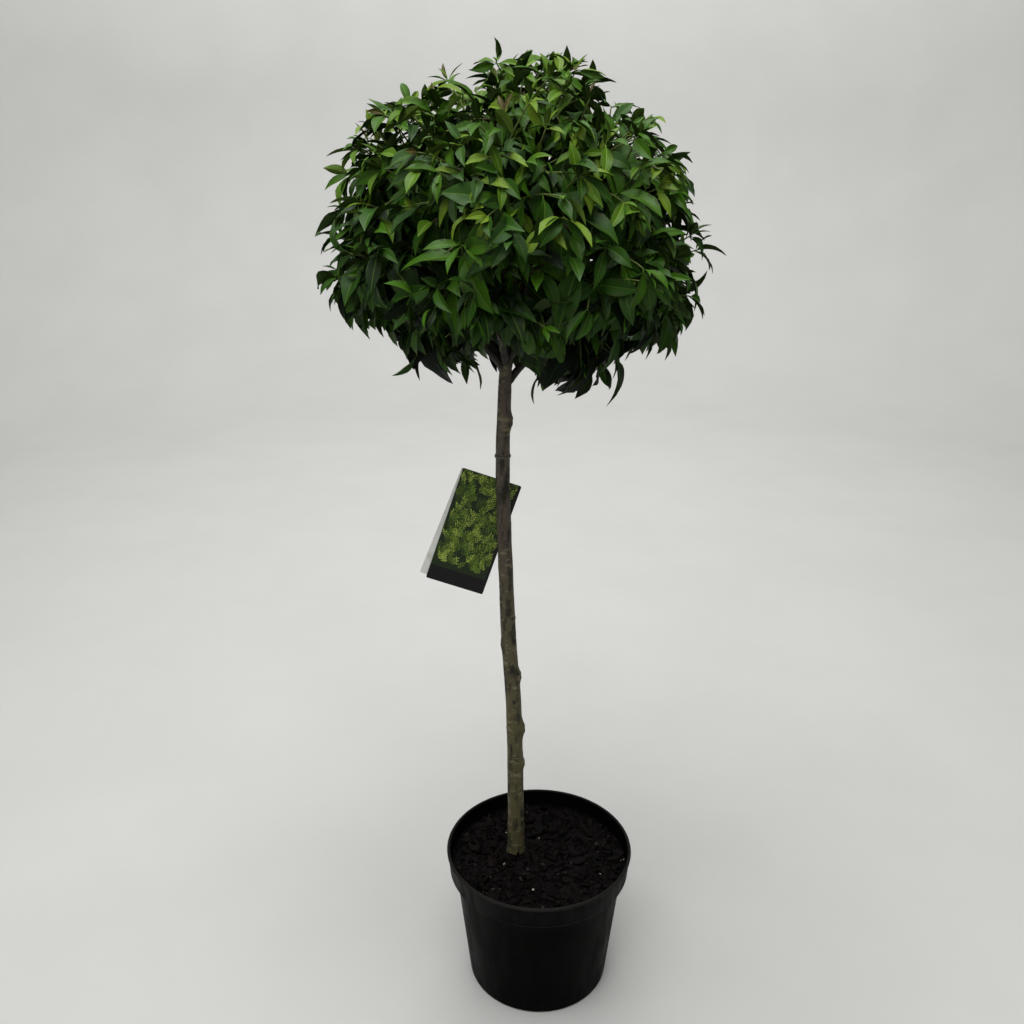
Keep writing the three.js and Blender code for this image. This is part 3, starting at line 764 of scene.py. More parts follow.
@dataclass
class Pot:
    """The black ten-litre nursery pot, with its collar, rolled rim and drain holes."""

    rim_radius: float = 0.140
    height: float = 0.224
    base_radius: float = 0.107
    wall: float = 0.0022
    foot_chamfer: float = 0.004
    chamfer_step: int = 15
    wall_runs: int = 8
    collar_height: float = 0.036
    collar_step: float = 0.009
    collar_chamfer: float = 0.0012
    lip_radius: float = 0.0026
    lip_from: float = -0.42
    lip_steps: int = 16
    sides: int = 160
    drain_holes: int = 8
    drain_radius: float = 0.007
    drain_circle: float = 0.080
    drill_heights: Range = (-0.01, 0.02)
    drill_sides: int = 32

    @property
    def collar_radius(self) -> float:
        """The collar's outer radius."""
        return self.rim_radius - 2 * self.lip_radius + self.wall / 2

    @property
    def floor(self) -> float:
        """The height of the floor's upper face."""
        return self.foot_chamfer + self.wall

    @property
    def collar_foot(self) -> float:
        """The height of the collar's lower edge."""
        return self.height - self.collar_height

    @property
    def shoulder_radius(self) -> float:
        """The wall's outer radius under the collar."""
        return self.collar_radius - self.collar_step

    def profile(self) -> list[Range]:
        """Works out the shell's outline, from the axis under the floor round to the axis above it.

        Returns:
            Each point's radius and height.
        """
        foot, shoulder, collar = self.collar_foot, self.shoulder_radius, self.collar_radius
        chamfer, runs, turn_out = self.foot_chamfer, self.wall_runs, self.collar_chamfer
        arc = [math.radians(a) for a in range(0, 91, self.chamfer_step)]
        base = [(self.base_radius - chamfer * (1 - math.sin(a)), chamfer * (1 - math.cos(a))) for a in arc]
        wall = [(lerp(self.base_radius, shoulder, i / runs), lerp(chamfer, foot, i / runs))
                for i in range(1, runs)]
        ledge = [
            (shoulder, foot - turn_out), (shoulder + turn_out * 0.3, foot - turn_out * 0.3),
            (shoulder + turn_out, foot), (collar - turn_out, foot + turn_out * 0.5),
            (collar - turn_out * 0.3, foot + turn_out * 0.8), (collar, foot + turn_out * 1.5),
        ]
        lip = []
        for i in range(self.lip_steps + 1):
            turn = lerp(self.lip_from, 1.0, i / self.lip_steps) * math.pi
            lip.append((self.rim_radius - self.lip_radius + self.lip_radius * math.cos(turn),
                        self.height - self.lip_radius + self.lip_radius * math.sin(turn)))
        inner_ledge = foot + self.wall
        inside = [
            (collar - self.wall, self.height - 2 * self.lip_radius),
            (collar - self.wall, inner_ledge + turn_out), (collar - self.wall - turn_out, inner_ledge),
            (shoulder - self.wall, inner_ledge), (shoulder - self.wall, inner_ledge - turn_out),
            (self.base_radius - self.wall, self.floor),
        ]
        return [(self.base_radius * 0.5, 0.0)] + base + wall + ledge + lip + inside

    def drill(self, shell: bpy.types.Object) -> None:
        """Cuts the drain holes through the shell's floor.

        Args:
            shell: the pot's shell.
        """
        drills = Pieces()
        for i in range(self.drain_holes):
            turn = FULL_TURN * (i + 0.5) / self.drain_holes
            middle = np.array((self.drain_circle * math.cos(turn), self.drain_circle * math.sin(turn), 0.0))
            drills.add_stack([middle + hoop(self.drain_radius, height, self.drill_sides)
                              for height in self.drill_heights])
        cutter = drills.build("drain_drills", [])
        cut = shell.modifiers.new("drain_holes", "BOOLEAN")
        cut.operation = "DIFFERENCE"
        cut.solver = "EXACT"
        cut.object = cutter
        graph = bpy.context.evaluated_depsgraph_get()
        drilled = bpy.data.meshes.new_from_object(shell.evaluated_get(graph))
        whole = shell.data
        shell.modifiers.clear()
        shell.data = drilled
        bpy.data.meshes.remove(whole)
        bpy.data.objects.remove(cutter)

    def build(self) -> None:
        """Makes the pot's shell."""
        pieces = Pieces()
        pieces.add_turned([hoop(*place, self.sides) for place in self.profile()], 0.0, self.floor)
        shell = pieces.build("pot_shell", [POT_PLASTIC.build()])
        self.drill(shell)
        hand_over(shell, Slot.POT, "pot")


@dataclass(frozen=True)
class Scatter:
    """A kind of loose piece: how many, the ranges of size and flatness, and the tints that they are dealt."""

    count: int
    sizes: Range
    flatness: Range
    tints: tuple[int, ...]


@dataclass
class Compost:
    """Dark bark compost: an uneven bed with loose chips, crumbs and a few pale flecks."""

    pot: Pot
    level: float = 0.203
    sunk: float = 0.0012
    mound: float = 0.003
    slope: float = 0.026
    gap: float = 0.0003
    roughness: float = 0.0042
    sides: int = 144
    rings: int = 46
    tilt: float = 0.38
    chip_rows: tuple[Range, ...] = ((-0.5, 0.45), (-0.12, 0.95), (0.2, 1.0), (0.5, 0.4))
    chip_corners: tuple[tuple[int, int], ...] = ((-1, -1), (1, -1), (1, 1), (-1, 1))
    tints: tuple[MottledFinish, ...] = (
        compost_finish("compost_chip_dark", (2, 1, 1), (6, 4, 3)),
        compost_finish("compost_chip_brown", (6, 4, 3), (17, 11, 9)),
        compost_finish("compost_chip_purple", (6, 3, 4), (15, 9, 10)),
        # Grey-tan chips: partly real pale bark and partly painted glints where damp chips catch the light.
        compost_finish("compost_chip_tan_and_glint", (30, 25, 21), (60, 53, 45)),
        compost_finish("compost_fleck", (110, 104, 92), (176, 168, 152)),
    )
    loose: tuple[Scatter, ...] = (
        Scatter(2600, (0.0018, 0.0055), (0.4, 0.8), (0, 0, 0, 1, 1, 2, 2)),
        Scatter(1500, (0.006, 0.024), (0.12, 0.3), (0, 0, 0, 1, 1, 2, 2)),
        # The grey-tan chips, partly painted glints of damp chips.
        Scatter(125, (0.004, 0.013), (0.12, 0.25), (3,)),
        Scatter(38, (0.0028, 0.0078), (0.4, 0.7), (4,)),
    )
    draw: random.Random = field(default_factory=lambda: random.Random(41))

    @property
    def edge(self) -> float:
        """The bed's radius inside the collar."""
        return self.pot.collar_radius - self.pot.wall - 2 * self.gap

    def surface(self, x: float, y: float) -> float:
        """Works out the height of the bed, which falls to its edge and is lumpy and hollow.

        Args:
            x: the place across.
            y: the place from front to back.

        Returns:
            The height.
        """
        fall = self.mound * smoothstep((math.hypot(x, y) - (self.edge - self.slope)) / self.slope)
        lumps = noise.fractal(Vector((x * 55, y * 55, 3.1)), 0.9, 2.1, 5)
        hollows = noise.noise(Vector((x * 14, y * 14, 9.4)))
        return self.level - self.sunk - fall + self.roughness * (0.55 * lumps + 0.5 * hollows)

    def bed(self) -> Pieces:
        """Makes the closed bed: floor, side and uneven top.

        Returns:
            The bed's mesh in the making.
        """
        pot = self.pot
        spare = pot.wall + 2 * self.gap
        floor, ledge = pot.floor + self.gap, pot.collar_foot + spare
        lower = ((pot.base_radius - spare, floor), (pot.shoulder_radius - spare, ledge),
                 (self.edge, ledge + pot.collar_chamfer))
        rings = [hoop(*place, self.sides) for place in lower]
        for i in range(self.rings):
            level = hoop(self.edge * (1 - i / self.rings), 0.0, self.sides)
            rings.append([(x, y, self.surface(x, y)) for x, y, _ in level])
        pieces = Pieces()
        pieces.add_turned(rings, floor, self.surface(0.0, 0.0))
        return pieces

    def chip(self, size: float, flatness: float) -> np.ndarray:
        """Shapes one splintery chip: a bent, tapering slab with rough corners.

        Args:
            size: its length.
            flatness: its thickness as a share of its size.

        Returns:
            Its points, a ring of four at each end and two between them.
        """
        draw = self.draw
        width, thick = size * draw.uniform(0.3, 0.75), size * flatness
        points = []
        for share, narrow in self.chip_rows:
            for side, high in self.chip_corners:
                points.append((
                    size * (share + draw.uniform(-0.06, 0.06)),
                    side * width / 2 * narrow * draw.uniform(0.7, 1.1),
                    high * thick / 2 * draw.uniform(0.6, 1.2) + thick * 0.8 * (0.25 - share * share),
                ))
        return np.array(points)

    def scatter(self, pieces: Pieces, kind: Scatter) -> None:
        """Scatters one kind of loose piece over the bed, at odd angles and half sunk.

        Args:
            pieces: what they are added to.
            kind: the kind.
        """
        draw = self.draw
        faces = closed_band(len(self.chip_rows), len(self.chip_corners))
        for _ in range(kind.count):
            size = lerp(*kind.sizes, draw.random() ** 2)
            radius = (self.edge - size * 0.55) * math.sqrt(draw.random())
            turn = draw.uniform(0, FULL_TURN)
            x, y = radius * math.cos(turn), radius * math.sin(turn)
            points = self.chip(size, draw.uniform(*kind.flatness))
            tilted = (Matrix.Rotation(draw.gauss(0, self.tilt), 3, "X")
                      @ Matrix.Rotation(draw.gauss(0, self.tilt), 3, "Y"))
            spin = Matrix.Rotation(draw.uniform(0, FULL_TURN), 3, "Z")
            turned = points @ np.array(spin @ tilted).T
            height = self.surface(x, y) + size * draw.uniform(-0.04, 0.1)
            pieces.add(turned + (x, y, height), faces, draw.choice(kind.tints), smooth=False)

    def build(self) -> None:
        """Makes the bed and its loose pieces."""
        soil = compost_finish("compost_soil", (1, 1, 1), (6, 4, 4))
        hand_over(self.bed().build("compost_bed", [soil.build()]), Slot.COMPOST, "compost")
        loose = Pieces()
        for kind in self.loose:
            self.scatter(loose, kind)
        hand_over(loose.build("compost_chips", [tint.build() for tint in self.tints]), Slot.COMPOST)


# The trunk


@dataclass(frozen=True)
class Stub:
    """A place where a side shoot was pruned off: its height, its turn round the trunk and its size."""

    height: float
    turn: float
    size: float


@dataclass
class Trunk:
    """The clear stem, with its flare, healed stubs, leaf scars and the relief of its bark."""

    depth: float = 0.012
    foot: float = 0.2003
    top: float = 1.010
    foot_radius: float = 0.0126
    neck_radius: float = 0.0088
    top_radius: float = 0.006
    neck_height: float = 0.930
    flare_radius: float = 0.0022
    flare_height: float = 0.014
    flare_lobes: int = 4
    flare_lobe_depth: float = 0.35
    flare_lobe_turn: float = 0.6
    sunk: float = 0.006
    sides: int = 64
    rings: int = 560
    ridge: float = 0.00014
    lump: float = 0.0005
    stub_reach: float = 0.005
    stub_spread: float = 0.0062
    stub_cut: float = 0.72
    stub_hollow: float = 0.0009
    stub_collar: float = 0.0005
    scar_spacing: float = 0.047
    scar_wander: float = 0.008
    scar_height: float = 0.0022
    scar_reach: float = 0.00075
    ring_reach: float = 0.0001
    stubs: tuple[Stub, ...] = (
        Stub(0.364, -0.1, 0.8), Stub(0.424, -0.2, 1.2), Stub(0.474, -1.5, 0.8), Stub(0.511, 0.1, 0.9),
        Stub(0.607, -1.0, 0.7), Stub(0.560, 2.2, 1.0), Stub(0.300, 1.9, 0.9), Stub(0.890, -0.2, 1.0),
    )
    course: tuple[Range, ...] = (
        (0.2003, -0.0345), (0.330, -0.0357), (0.470, -0.039), (0.570, -0.0455), (0.735, -0.0515),
        (0.825, -0.0534), (0.918, -0.051), (1.010, -0.046),
    )
    bark: BarkFinish = BarkFinish("trunk_bark", (74, 70, 44), (78, 69, 60), (32, 31, 24), (104, 98, 74),
                                  (122, 114, 92), (0.6, 0.95))
    cut: BarkFinish = BarkFinish("trunk_cut", (46, 38, 28), (44, 36, 30), (26, 21, 17), (60, 50, 38),
                                 (80, 66, 50), (0.5, 0.9))
    line: Spline = field(init=False)

    def __post_init__(self) -> None:
        """Works out the centre line."""
        self.line = Spline([Vector((offset, self.depth, height)) for height, offset in self.course])

    def taper(self, height: float) -> float:
        """Works out the radius without the flare: even below the neck, and quicker inside the head.

        Args:
            height: the height.

        Returns:
            The radius.
        """
        if height > self.neck_height:
            share = (height - self.neck_height) / (self.top - self.neck_height)
            return lerp(self.neck_radius, self.top_radius, share)
        share = (height - self.foot) / (self.neck_height - self.foot)
        return lerp(self.foot_radius, self.neck_radius, share)

    def radius(self, height: float, turn: float) -> float:
        """Works out the radius with the root flare and its lobes.

        Args:
            height: the height.
            turn: the turn round the trunk from +X.

        Returns:
            The radius.
        """
        lobes = 1 + self.flare_lobe_depth * math.cos(self.flare_lobes * turn + self.flare_lobe_turn)
        fade = math.exp((self.foot - height) / self.flare_height)
        return self.taper(height) + self.flare_radius * lobes * fade

    def relief(self, height: float, turn: float, radius: float) -> tuple[float, bool]:
        """Works out the relief of the bark, with its ridges, lumps, scars and healed stubs.

        Args:
            height: the place's height.
            turn: its turn round the trunk from +X.
            radius: the smooth radius there.

        Returns:
            How far the bark stands out, and whether the place is on a pruning cut.
        """
        x, y = math.cos(turn) * radius, math.sin(turn) * radius
        ridges = noise.fractal(Vector((x * 300, y * 300, height * 90)), 0.8, 2.0, 4)
        lumps = noise.noise(Vector((x * 70, y * 70, height * 30 + 5)))
        out = self.ridge * ridges + self.lump * lumps + self.leaf_scars(height, turn)
        cut = False
        for stub in self.stubs:
            away = (turn - stub.turn + math.pi) % FULL_TURN - math.pi
            across, along = away * radius, (height - stub.height) * 0.8
            distance = math.hypot(across, along) / (self.stub_spread * stub.size)
            if distance < 3:
                reach = self.stub_reach * stub.size
                rise, plateau = reach * math.exp(-distance * distance * 0.9), reach * self.stub_cut
                if rise > plateau:
                    cut = True
                    rise = plateau - self.stub_hollow * (rise - plateau) / (reach - plateau)
                out += rise + self.stub_collar * math.exp(-((distance - 1.5) * 2.2) ** 2)
        return out, cut

    def leaf_scars(self, height: float, turn: float) -> float:
        """Works out the low rings and the small scars that fallen leaves left, every few centimetres.

        Args:
            height: the place's height.
            turn: its turn round the trunk from +X.

        Returns:
            How far they stand out.
        """
        index = round(height / self.scar_spacing)
        wander = self.scar_wander * math.sin(index * 12.9)
        away = (height - index * self.scar_spacing - wander) / self.scar_height
        facing = math.cos(turn - index * 2.4)
        ring = self.ring_reach * math.exp(-away * away)
        return ring + self.scar_reach * math.exp(-away * away * 0.5) * max(0.0, facing) ** 6

    def build(self) -> None:
        """Makes the trunk with its bark."""
        points, cuts = [], []
        for i in range(self.rings + 1):
            height = lerp(self.foot - self.sunk, self.top, i / self.rings)
            held = max(height, self.foot)
            centre = self.line.at_height(held)
            for turn in turns(self.sides):
                smooth = self.radius(held, turn)
                out, cut = self.relief(height, turn, smooth)
                reach = smooth + out
                points.append((centre.x + reach * math.cos(turn), centre.y + reach * math.sin(turn), height))
                cuts.append(cut)
        faces = closed_band(self.rings + 1, self.sides)
        pieces = Pieces()
        pieces.add(points, faces, [int(all(cuts[corner] for corner in face)) for face in faces])
        piece = pieces.build("trunk_bark", [self.bark.build(), self.cut.build()])
        hand_over(piece, Slot.BARK, "trunk")


# The head


@dataclass(frozen=True)
class Ring:
    """A ring of foliage masses, and where their boughs leave the trunk."""

    name: str
    count: int
    radius: float
    height: float
    turn: float
    bough_foot: float
    foot_step: float


@dataclass(frozen=True)
class LongShoot:
    """A shoot that stands out of the head's outline: its turn round the head from +X and its end."""

    turn: float
    out: float
    height: float


@dataclass(frozen=True)
class Shoot:
    """A leafy shoot: its curve, its radii, whether it stands out of the outline, and whether it is a twig."""

    bow: Bow
    radii: Range
    long: bool = False
    twig: bool = True


@dataclass
class Mass:
    """One mass of foliage: its heart, its bough, its own space, its twigs and the points that they take."""

    name: str
    heart: Vector
    seed: int
    bough: Bow
    planes: list[tuple[Vector, float]] = field(default_factory=list)
    twig_ends: list[Vector] = field(default_factory=list)
    long_ends: list[Vector] = field(default_factory=list)
    twigs: list[Shoot] = field(default_factory=list)
    taken: list[Vector] = field(default_factory=list)

    def owns(self, point: Vector, spare: float = 0.0) -> bool:
        """Returns whether a point is on the mass's side of the planes midway to the others, or nearly so."""
        return all((point - self.heart).dot(direction) < limit + spare for direction, limit in self.planes)


@dataclass
class HeadShape:
    """The head's outline: half an ellipsoid upwards, and a flatter half downwards that draws in and leans."""

    centre: Vector = field(default_factory=lambda: Vector((-0.036, 0.012, 1.100)))
    radius: float = 0.243
    rise: float = 0.238
    drop: float = 0.172
    fullness: float = 2.0
    lower_fullness: float = 1.7
    lower_lean: float = 0.08

    def rounded_length(self, across: float, up: float) -> float:
        """Returns the length of a pair of sides by the rule that rounds the head."""
        fullness = self.fullness if up > 0 else self.lower_fullness
        return (across ** fullness + abs(up) ** fullness) ** (1 / fullness)

    def middle(self, height: float) -> Vector:
        """Returns the head's middle at a height, which leans to the right below its centre."""
        lean = self.lower_lean * max(0.0, self.centre.z - height)
        return Vector((self.centre.x + lean, self.centre.y, height))

    def share(self, point: Vector) -> float:
        """Returns how far out a point is: below 1 is inside the outline.

        Args:
            point: the point.

        Returns:
            Its distance from the middle as a share of the outline's.
        """
        up = point.z - self.centre.z
        across = (point - self.middle(point.z)).length / self.radius
        return self.rounded_length(across, up / (self.rise if up > 0 else self.drop))

    def height_share(self, point: Vector) -> float:
        """Returns 0 at the bottom of the head and 1 at its top."""
        return (point.z - self.centre.z + self.drop) / (self.drop + self.rise)

    def outward(self, point: Vector) -> Vector:
        """Returns the direction from the head's centre to a point."""
        return (point - self.centre).normalized()

    def beside(self, out: float, turn: float, height: float) -> Vector:
        """Returns a point at a distance and a turn round the head's centre, and at a height."""
        return Vector((self.centre.x + out * math.cos(turn), self.centre.y + out * math.sin(turn), height))


class Skeleton:
    """The head's boughs, stems and twigs, by the same rule and sizes as the solids."""

    rings = (
        Ring("lower", 6, 0.118, 1.050, 0.3, 0.936, 0.007),
        Ring("upper", 5, 0.096, 1.172, 0.75, 0.978, 0.006),
        Ring("top", 1, 0.0, 1.236, 0.0, 1.010, 0.0),
    )
    long_shoots = (
        LongShoot(3.14, 0.243, 1.216), LongShoot(3.1, 0.252, 1.112), LongShoot(3.3, 0.128, 1.314),
        LongShoot(0.0, 0.005, 1.340), LongShoot(-0.1, 0.062, 1.338), LongShoot(0.05, 0.115, 1.326),
        LongShoot(0.0, 0.251, 1.082), LongShoot(-0.05, 0.250, 1.030), LongShoot(0.1, 0.236, 0.992),
        LongShoot(-0.3, 0.118, 0.916), LongShoot(3.3, 0.108, 0.944),
    )
    mass_spacing = 0.003
    core_radius = 0.036
    bough_radii = (0.0052, 0.0034)
    bough_stop = 0.060
    knee_share = 0.4
    knee_rise = 0.12
    gap = 0.0003
    twig_radii = (0.0026, 0.0017)
    twig_samples = 8
    trunk_samples = 120
    bough_samples = 16
    head_twigs = 120
    twig_lift = 0.16
    twig_foot_share = 0.5
    tip_leaf_share = 0.9
    twig_room = 0.007
    twig_clearance = 0.016
    limb_clearance = 0.0015
    leaf_length = 0.072
    long_outline = 1.6

    def __init__(self, trunk: Trunk, shape: HeadShape) -> None:
        """Lays out the masses and grows their twigs.

        Args:
            trunk: the trunk.
            shape: the head's outline.
        """
        self.trunk = trunk
        self.shape = shape
        self.masses = self.lay_out()
        self.limb_points, self.limb_radii = self.limb_samples()
        self.share_out()
        for mass in self.masses:
            self.grow_twigs(mass)

    def lay_out(self) -> list[Mass]:
        """Places the masses, each with its heart, its bough and the planes midway to the others.

        Returns:
            The masses.
        """
        masses: list[Mass] = []
        for ring in self.rings:
            for i in range(ring.count):
                heart = self.shape.beside(ring.radius, ring.turn + FULL_TURN * i / ring.count, ring.height)
                name = ring.name if ring.count == 1 else f"{ring.name}_{i + 1}"
                foot = self.trunk.line.at_height(ring.bough_foot + ring.foot_step * i)
                masses.append(Mass(name, heart, len(masses) + 1, self.bough(foot, heart)))
        for mass in masses:
            for other in masses:
                if other is not mass:
                    towards = other.heart - mass.heart
                    mass.planes.append((towards.normalized(), towards.length / 2 - self.mass_spacing / 2))
        return masses

    def bough(self, foot: Vector, heart: Vector) -> Bow:
        """Curves a bough, which leaves the trunk steeply and stops short of its mass's heart.

        Args:
            foot: where it starts.
            heart: the mass's heart.

        Returns:
            Its curve.
        """
        run = heart - foot
        knee = foot + run * self.knee_share + UP * (self.knee_rise * run.length)
        return Bow(foot, knee, heart - run.normalized() * self.bough_stop)

    def stem(self, mass: Mass) -> Bow:
        """Curves the stem that carries a bough on to its mass's heart.

        Args:
            mass: the mass.

        Returns:
            The stem's curve.
        """
        tangent = mass.bough.tangent(1)
        start = mass.bough.point(1) + tangent * self.gap
        return Bow(start, start + tangent * (self.bough_stop / 2), mass.heart)

    def limb_samples(self) -> tuple[np.ndarray, np.ndarray]:
        """Measures the trunk and the boughs, which twigs and leaves keep clear of.

        Returns:
            Points along them, and the radius at each.
        """
        count, steps = self.trunk_samples, self.bough_samples
        points = [self.trunk.line.point(i / count) for i in range(count + 1)]
        radii = [self.trunk.radius(point.z, 0.0) for point in points]
        for mass in self.masses:
            points += [mass.bough.point(i / steps) for i in range(steps + 1)]
            radii += [lerp(*self.bough_radii, i / steps) for i in range(steps + 1)]
        return np.array(points), np.array(radii)

    def clear_of_limbs(self, point: Vector, room: float) -> bool:
        """Returns whether a point has this much room to every limb."""
        away = np.linalg.norm(self.limb_points - np.array(point), axis=1)
        return bool((away > self.limb_radii + room).all())

    def nearest(self, point: Vector) -> Mass:
        """Returns the mass whose heart is nearest to a point."""
        return min(self.masses, key=lambda mass: (mass.heart - point).length)

    def share_out(self) -> None:
        """Spreads the twigs' ends evenly over the outline, and gives each to its nearest mass."""
        shape = self.shape
        for i in range(self.head_twigs):
            rise = 1 - 2 * (i + 0.5) / self.head_twigs
            ring = math.sqrt(1 - rise * rise)
            turn = GOLDEN_ANGLE * i
            length = shape.rounded_length(ring, rise)
            height = shape.centre.z + (shape.rise if rise > 0 else shape.drop) * rise / length
            out = shape.radius * ring / length
            end = shape.middle(height) + Vector((out * math.cos(turn), out * math.sin(turn), 0))
            self.nearest(end).twig_ends.append(end)
        for shoot in self.long_shoots:
            end = shape.beside(shoot.out, shoot.turn, shoot.height)
            self.nearest(end).long_ends.append(end)

    def pulled_in(self, end: Vector, mass: Mass) -> Vector:
        """Draws a twig's end a leaf's length under the outline and clear of the neighbouring masses.

        Args:
            end: the place on the outline.
            mass: the twig's mass.

        Returns:
            The twig's end.
        """
        inward = (self.shape.centre - end).normalized()
        pulled = end + inward * (self.leaf_length * self.tip_leaf_share)
        for direction, limit in mass.planes:
            past = (pulled - mass.heart).dot(direction) - (limit - self.twig_room)
            if past > 0:
                pulled = pulled - direction * past
        return pulled

    def grow_twigs(self, mass: Mass) -> None:
        """Grows a mass's twigs, long shoots first, where its space takes them.

        Args:
            mass: the mass.
        """
        for reach in mass.long_ends:
            share = self.leaf_length / (reach - mass.heart).length
            self.grow_twig(mass, reach.lerp(mass.heart, share), long=True)
        for end in mass.twig_ends:
            self.grow_twig(mass, self.pulled_in(end, mass))

    def grow_twig(self, mass: Mass, end: Vector, long: bool = False) -> None:
        """Grows an upward-bowed twig if it fits its mass's space, off the limbs and the other twigs.

        Args:
            mass: the mass.
            end: the twig's end.
            long: whether it stands out of the outline.
        """
        foot = mass.heart + (end - mass.heart).normalized() * (self.core_radius * self.twig_foot_share)
        middle = (foot + end) / 2 + UP * (self.twig_lift * (end - foot).length)
        bow = Bow(foot, middle, end)
        points = [bow.point(i / self.twig_samples) for i in range(self.twig_samples + 1)]
        outline = self.long_outline if long else 1.0
        for point in points:
            if not self.clear_of_limbs(point, self.twig_radii[0] + self.limb_clearance):
                return
            if self.shape.share(point) >= outline or not mass.owns(point):
                return
        outer = points[self.twig_samples // 2 + 1:]
        if all((point - other).length >= self.twig_clearance for point in outer for other in mass.taken):
            mass.taken += outer
            mass.twigs.append(Shoot(bow, self.twig_radii, long))


# Leaves


class LeafTint(Enum):
    """Plain leaf finishes, dark to bright: old leaves and painted shade to young growth and painted light on
    top.
    """

    # The deepest tint: old leaves, and painted shade on the lowest and innermost sprays.
    OLD_AND_DEEP_SHADE = LeafFinish("leaf_old_and_deep_shade", (4, 15, 3), 0.55, 0.1)
    SHADE = LeafFinish("leaf_shade", (14, 35, 4))
    MATURE = LeafFinish("leaf_mature", (31, 62, 5))
    FRESH = LeafFinish("leaf_fresh", (44, 77, 6))
    BRIGHT = LeafFinish("leaf_bright", (60, 90, 10))
    LIME = LeafFinish("leaf_lime", (80, 104, 20))
    BLUISH = LeafFinish("leaf_bluish", (32, 58, 18))
    TIP = LeafFinish("leaf_tip", (66, 56, 30))


TINTS = list(LeafTint)
UNDER_FINISHES = (
    LeafFinish("leaf_under_dull", (40, 58, 20), 0.55, 0.12),
    LeafFinish("leaf_under_pale", (72, 94, 34), 0.55, 0.12),
    # Painted shade: the near-black underside of leaves dealt the deepest tint.
    LeafFinish("leaf_under_painted_shade", (15, 27, 8), 0.55, 0.1),
)
RIB_FINISHES = (
    LeafFinish("leaf_rib", (66, 92, 28), 0.5, 0.12),
    LeafFinish("leaf_rib_young", (108, 132, 48), 0.5, 0.12),
    # Painted shade: the dark rib and stalk of leaves dealt the deepest tint.
    LeafFinish("leaf_rib_painted_shade", (27, 44, 12), 0.55, 0.1),
)
FIRST_UNDER = len(TINTS)
FIRST_RIB = FIRST_UNDER + len(UNDER_FINISHES)

# The under and rib finishes that go with a tint; the others take the first. The deepest tint takes the
# painted-shade pair.
KIN = {LeafTint.BRIGHT: 1, LeafTint.LIME: 1, LeafTint.TIP: 1, LeafTint.OLD_AND_DEEP_SHADE: 2}

# The tints by the score under which they are dealt: youth, with painted light on top and painted shade low
# down and inside; a choice among equals is drawn.
TINTS_BY_YOUTH_AND_LIGHT = (
    (0.12, (LeafTint.OLD_AND_DEEP_SHADE,)), (0.24, (LeafTint.SHADE,)),
    (0.4, (LeafTint.MATURE, LeafTint.MATURE, LeafTint.BLUISH)), (0.58, (LeafTint.FRESH,)),
    (0.78, (LeafTint.BRIGHT,)), (math.inf, (LeafTint.LIME,)),
)


@dataclass
class Leaf:
    """One leaf: where it is rooted, how it points and how its blade is shaped."""

    root: Vector
    along: Vector
    light: Vector
    length: float
    width: float
    bend: float
    fold: float
    wave: float
    phase: float
    twist: float
    tint: LeafTint

    def boldness(self) -> float:
        """Returns the leaf's own chance number from -1 to 1, which its ripple's phase gives."""
        return self.phase / math.pi - 1

    def point(self, share: float) -> Vector:
        """Returns a point of the midrib, close to where the bent blade puts it.

        Args:
            share: the share of the midrib.

        Returns:
            The point.
        """
        across = self.along.cross(self.light).normalized()
        face = across.cross(self.along)
        angle = self.bend * share ** BEND_POWER / (1 + BEND_POWER)
        return self.root + (self.along * math.cos(angle) - face * math.sin(angle)) * (self.length * share)


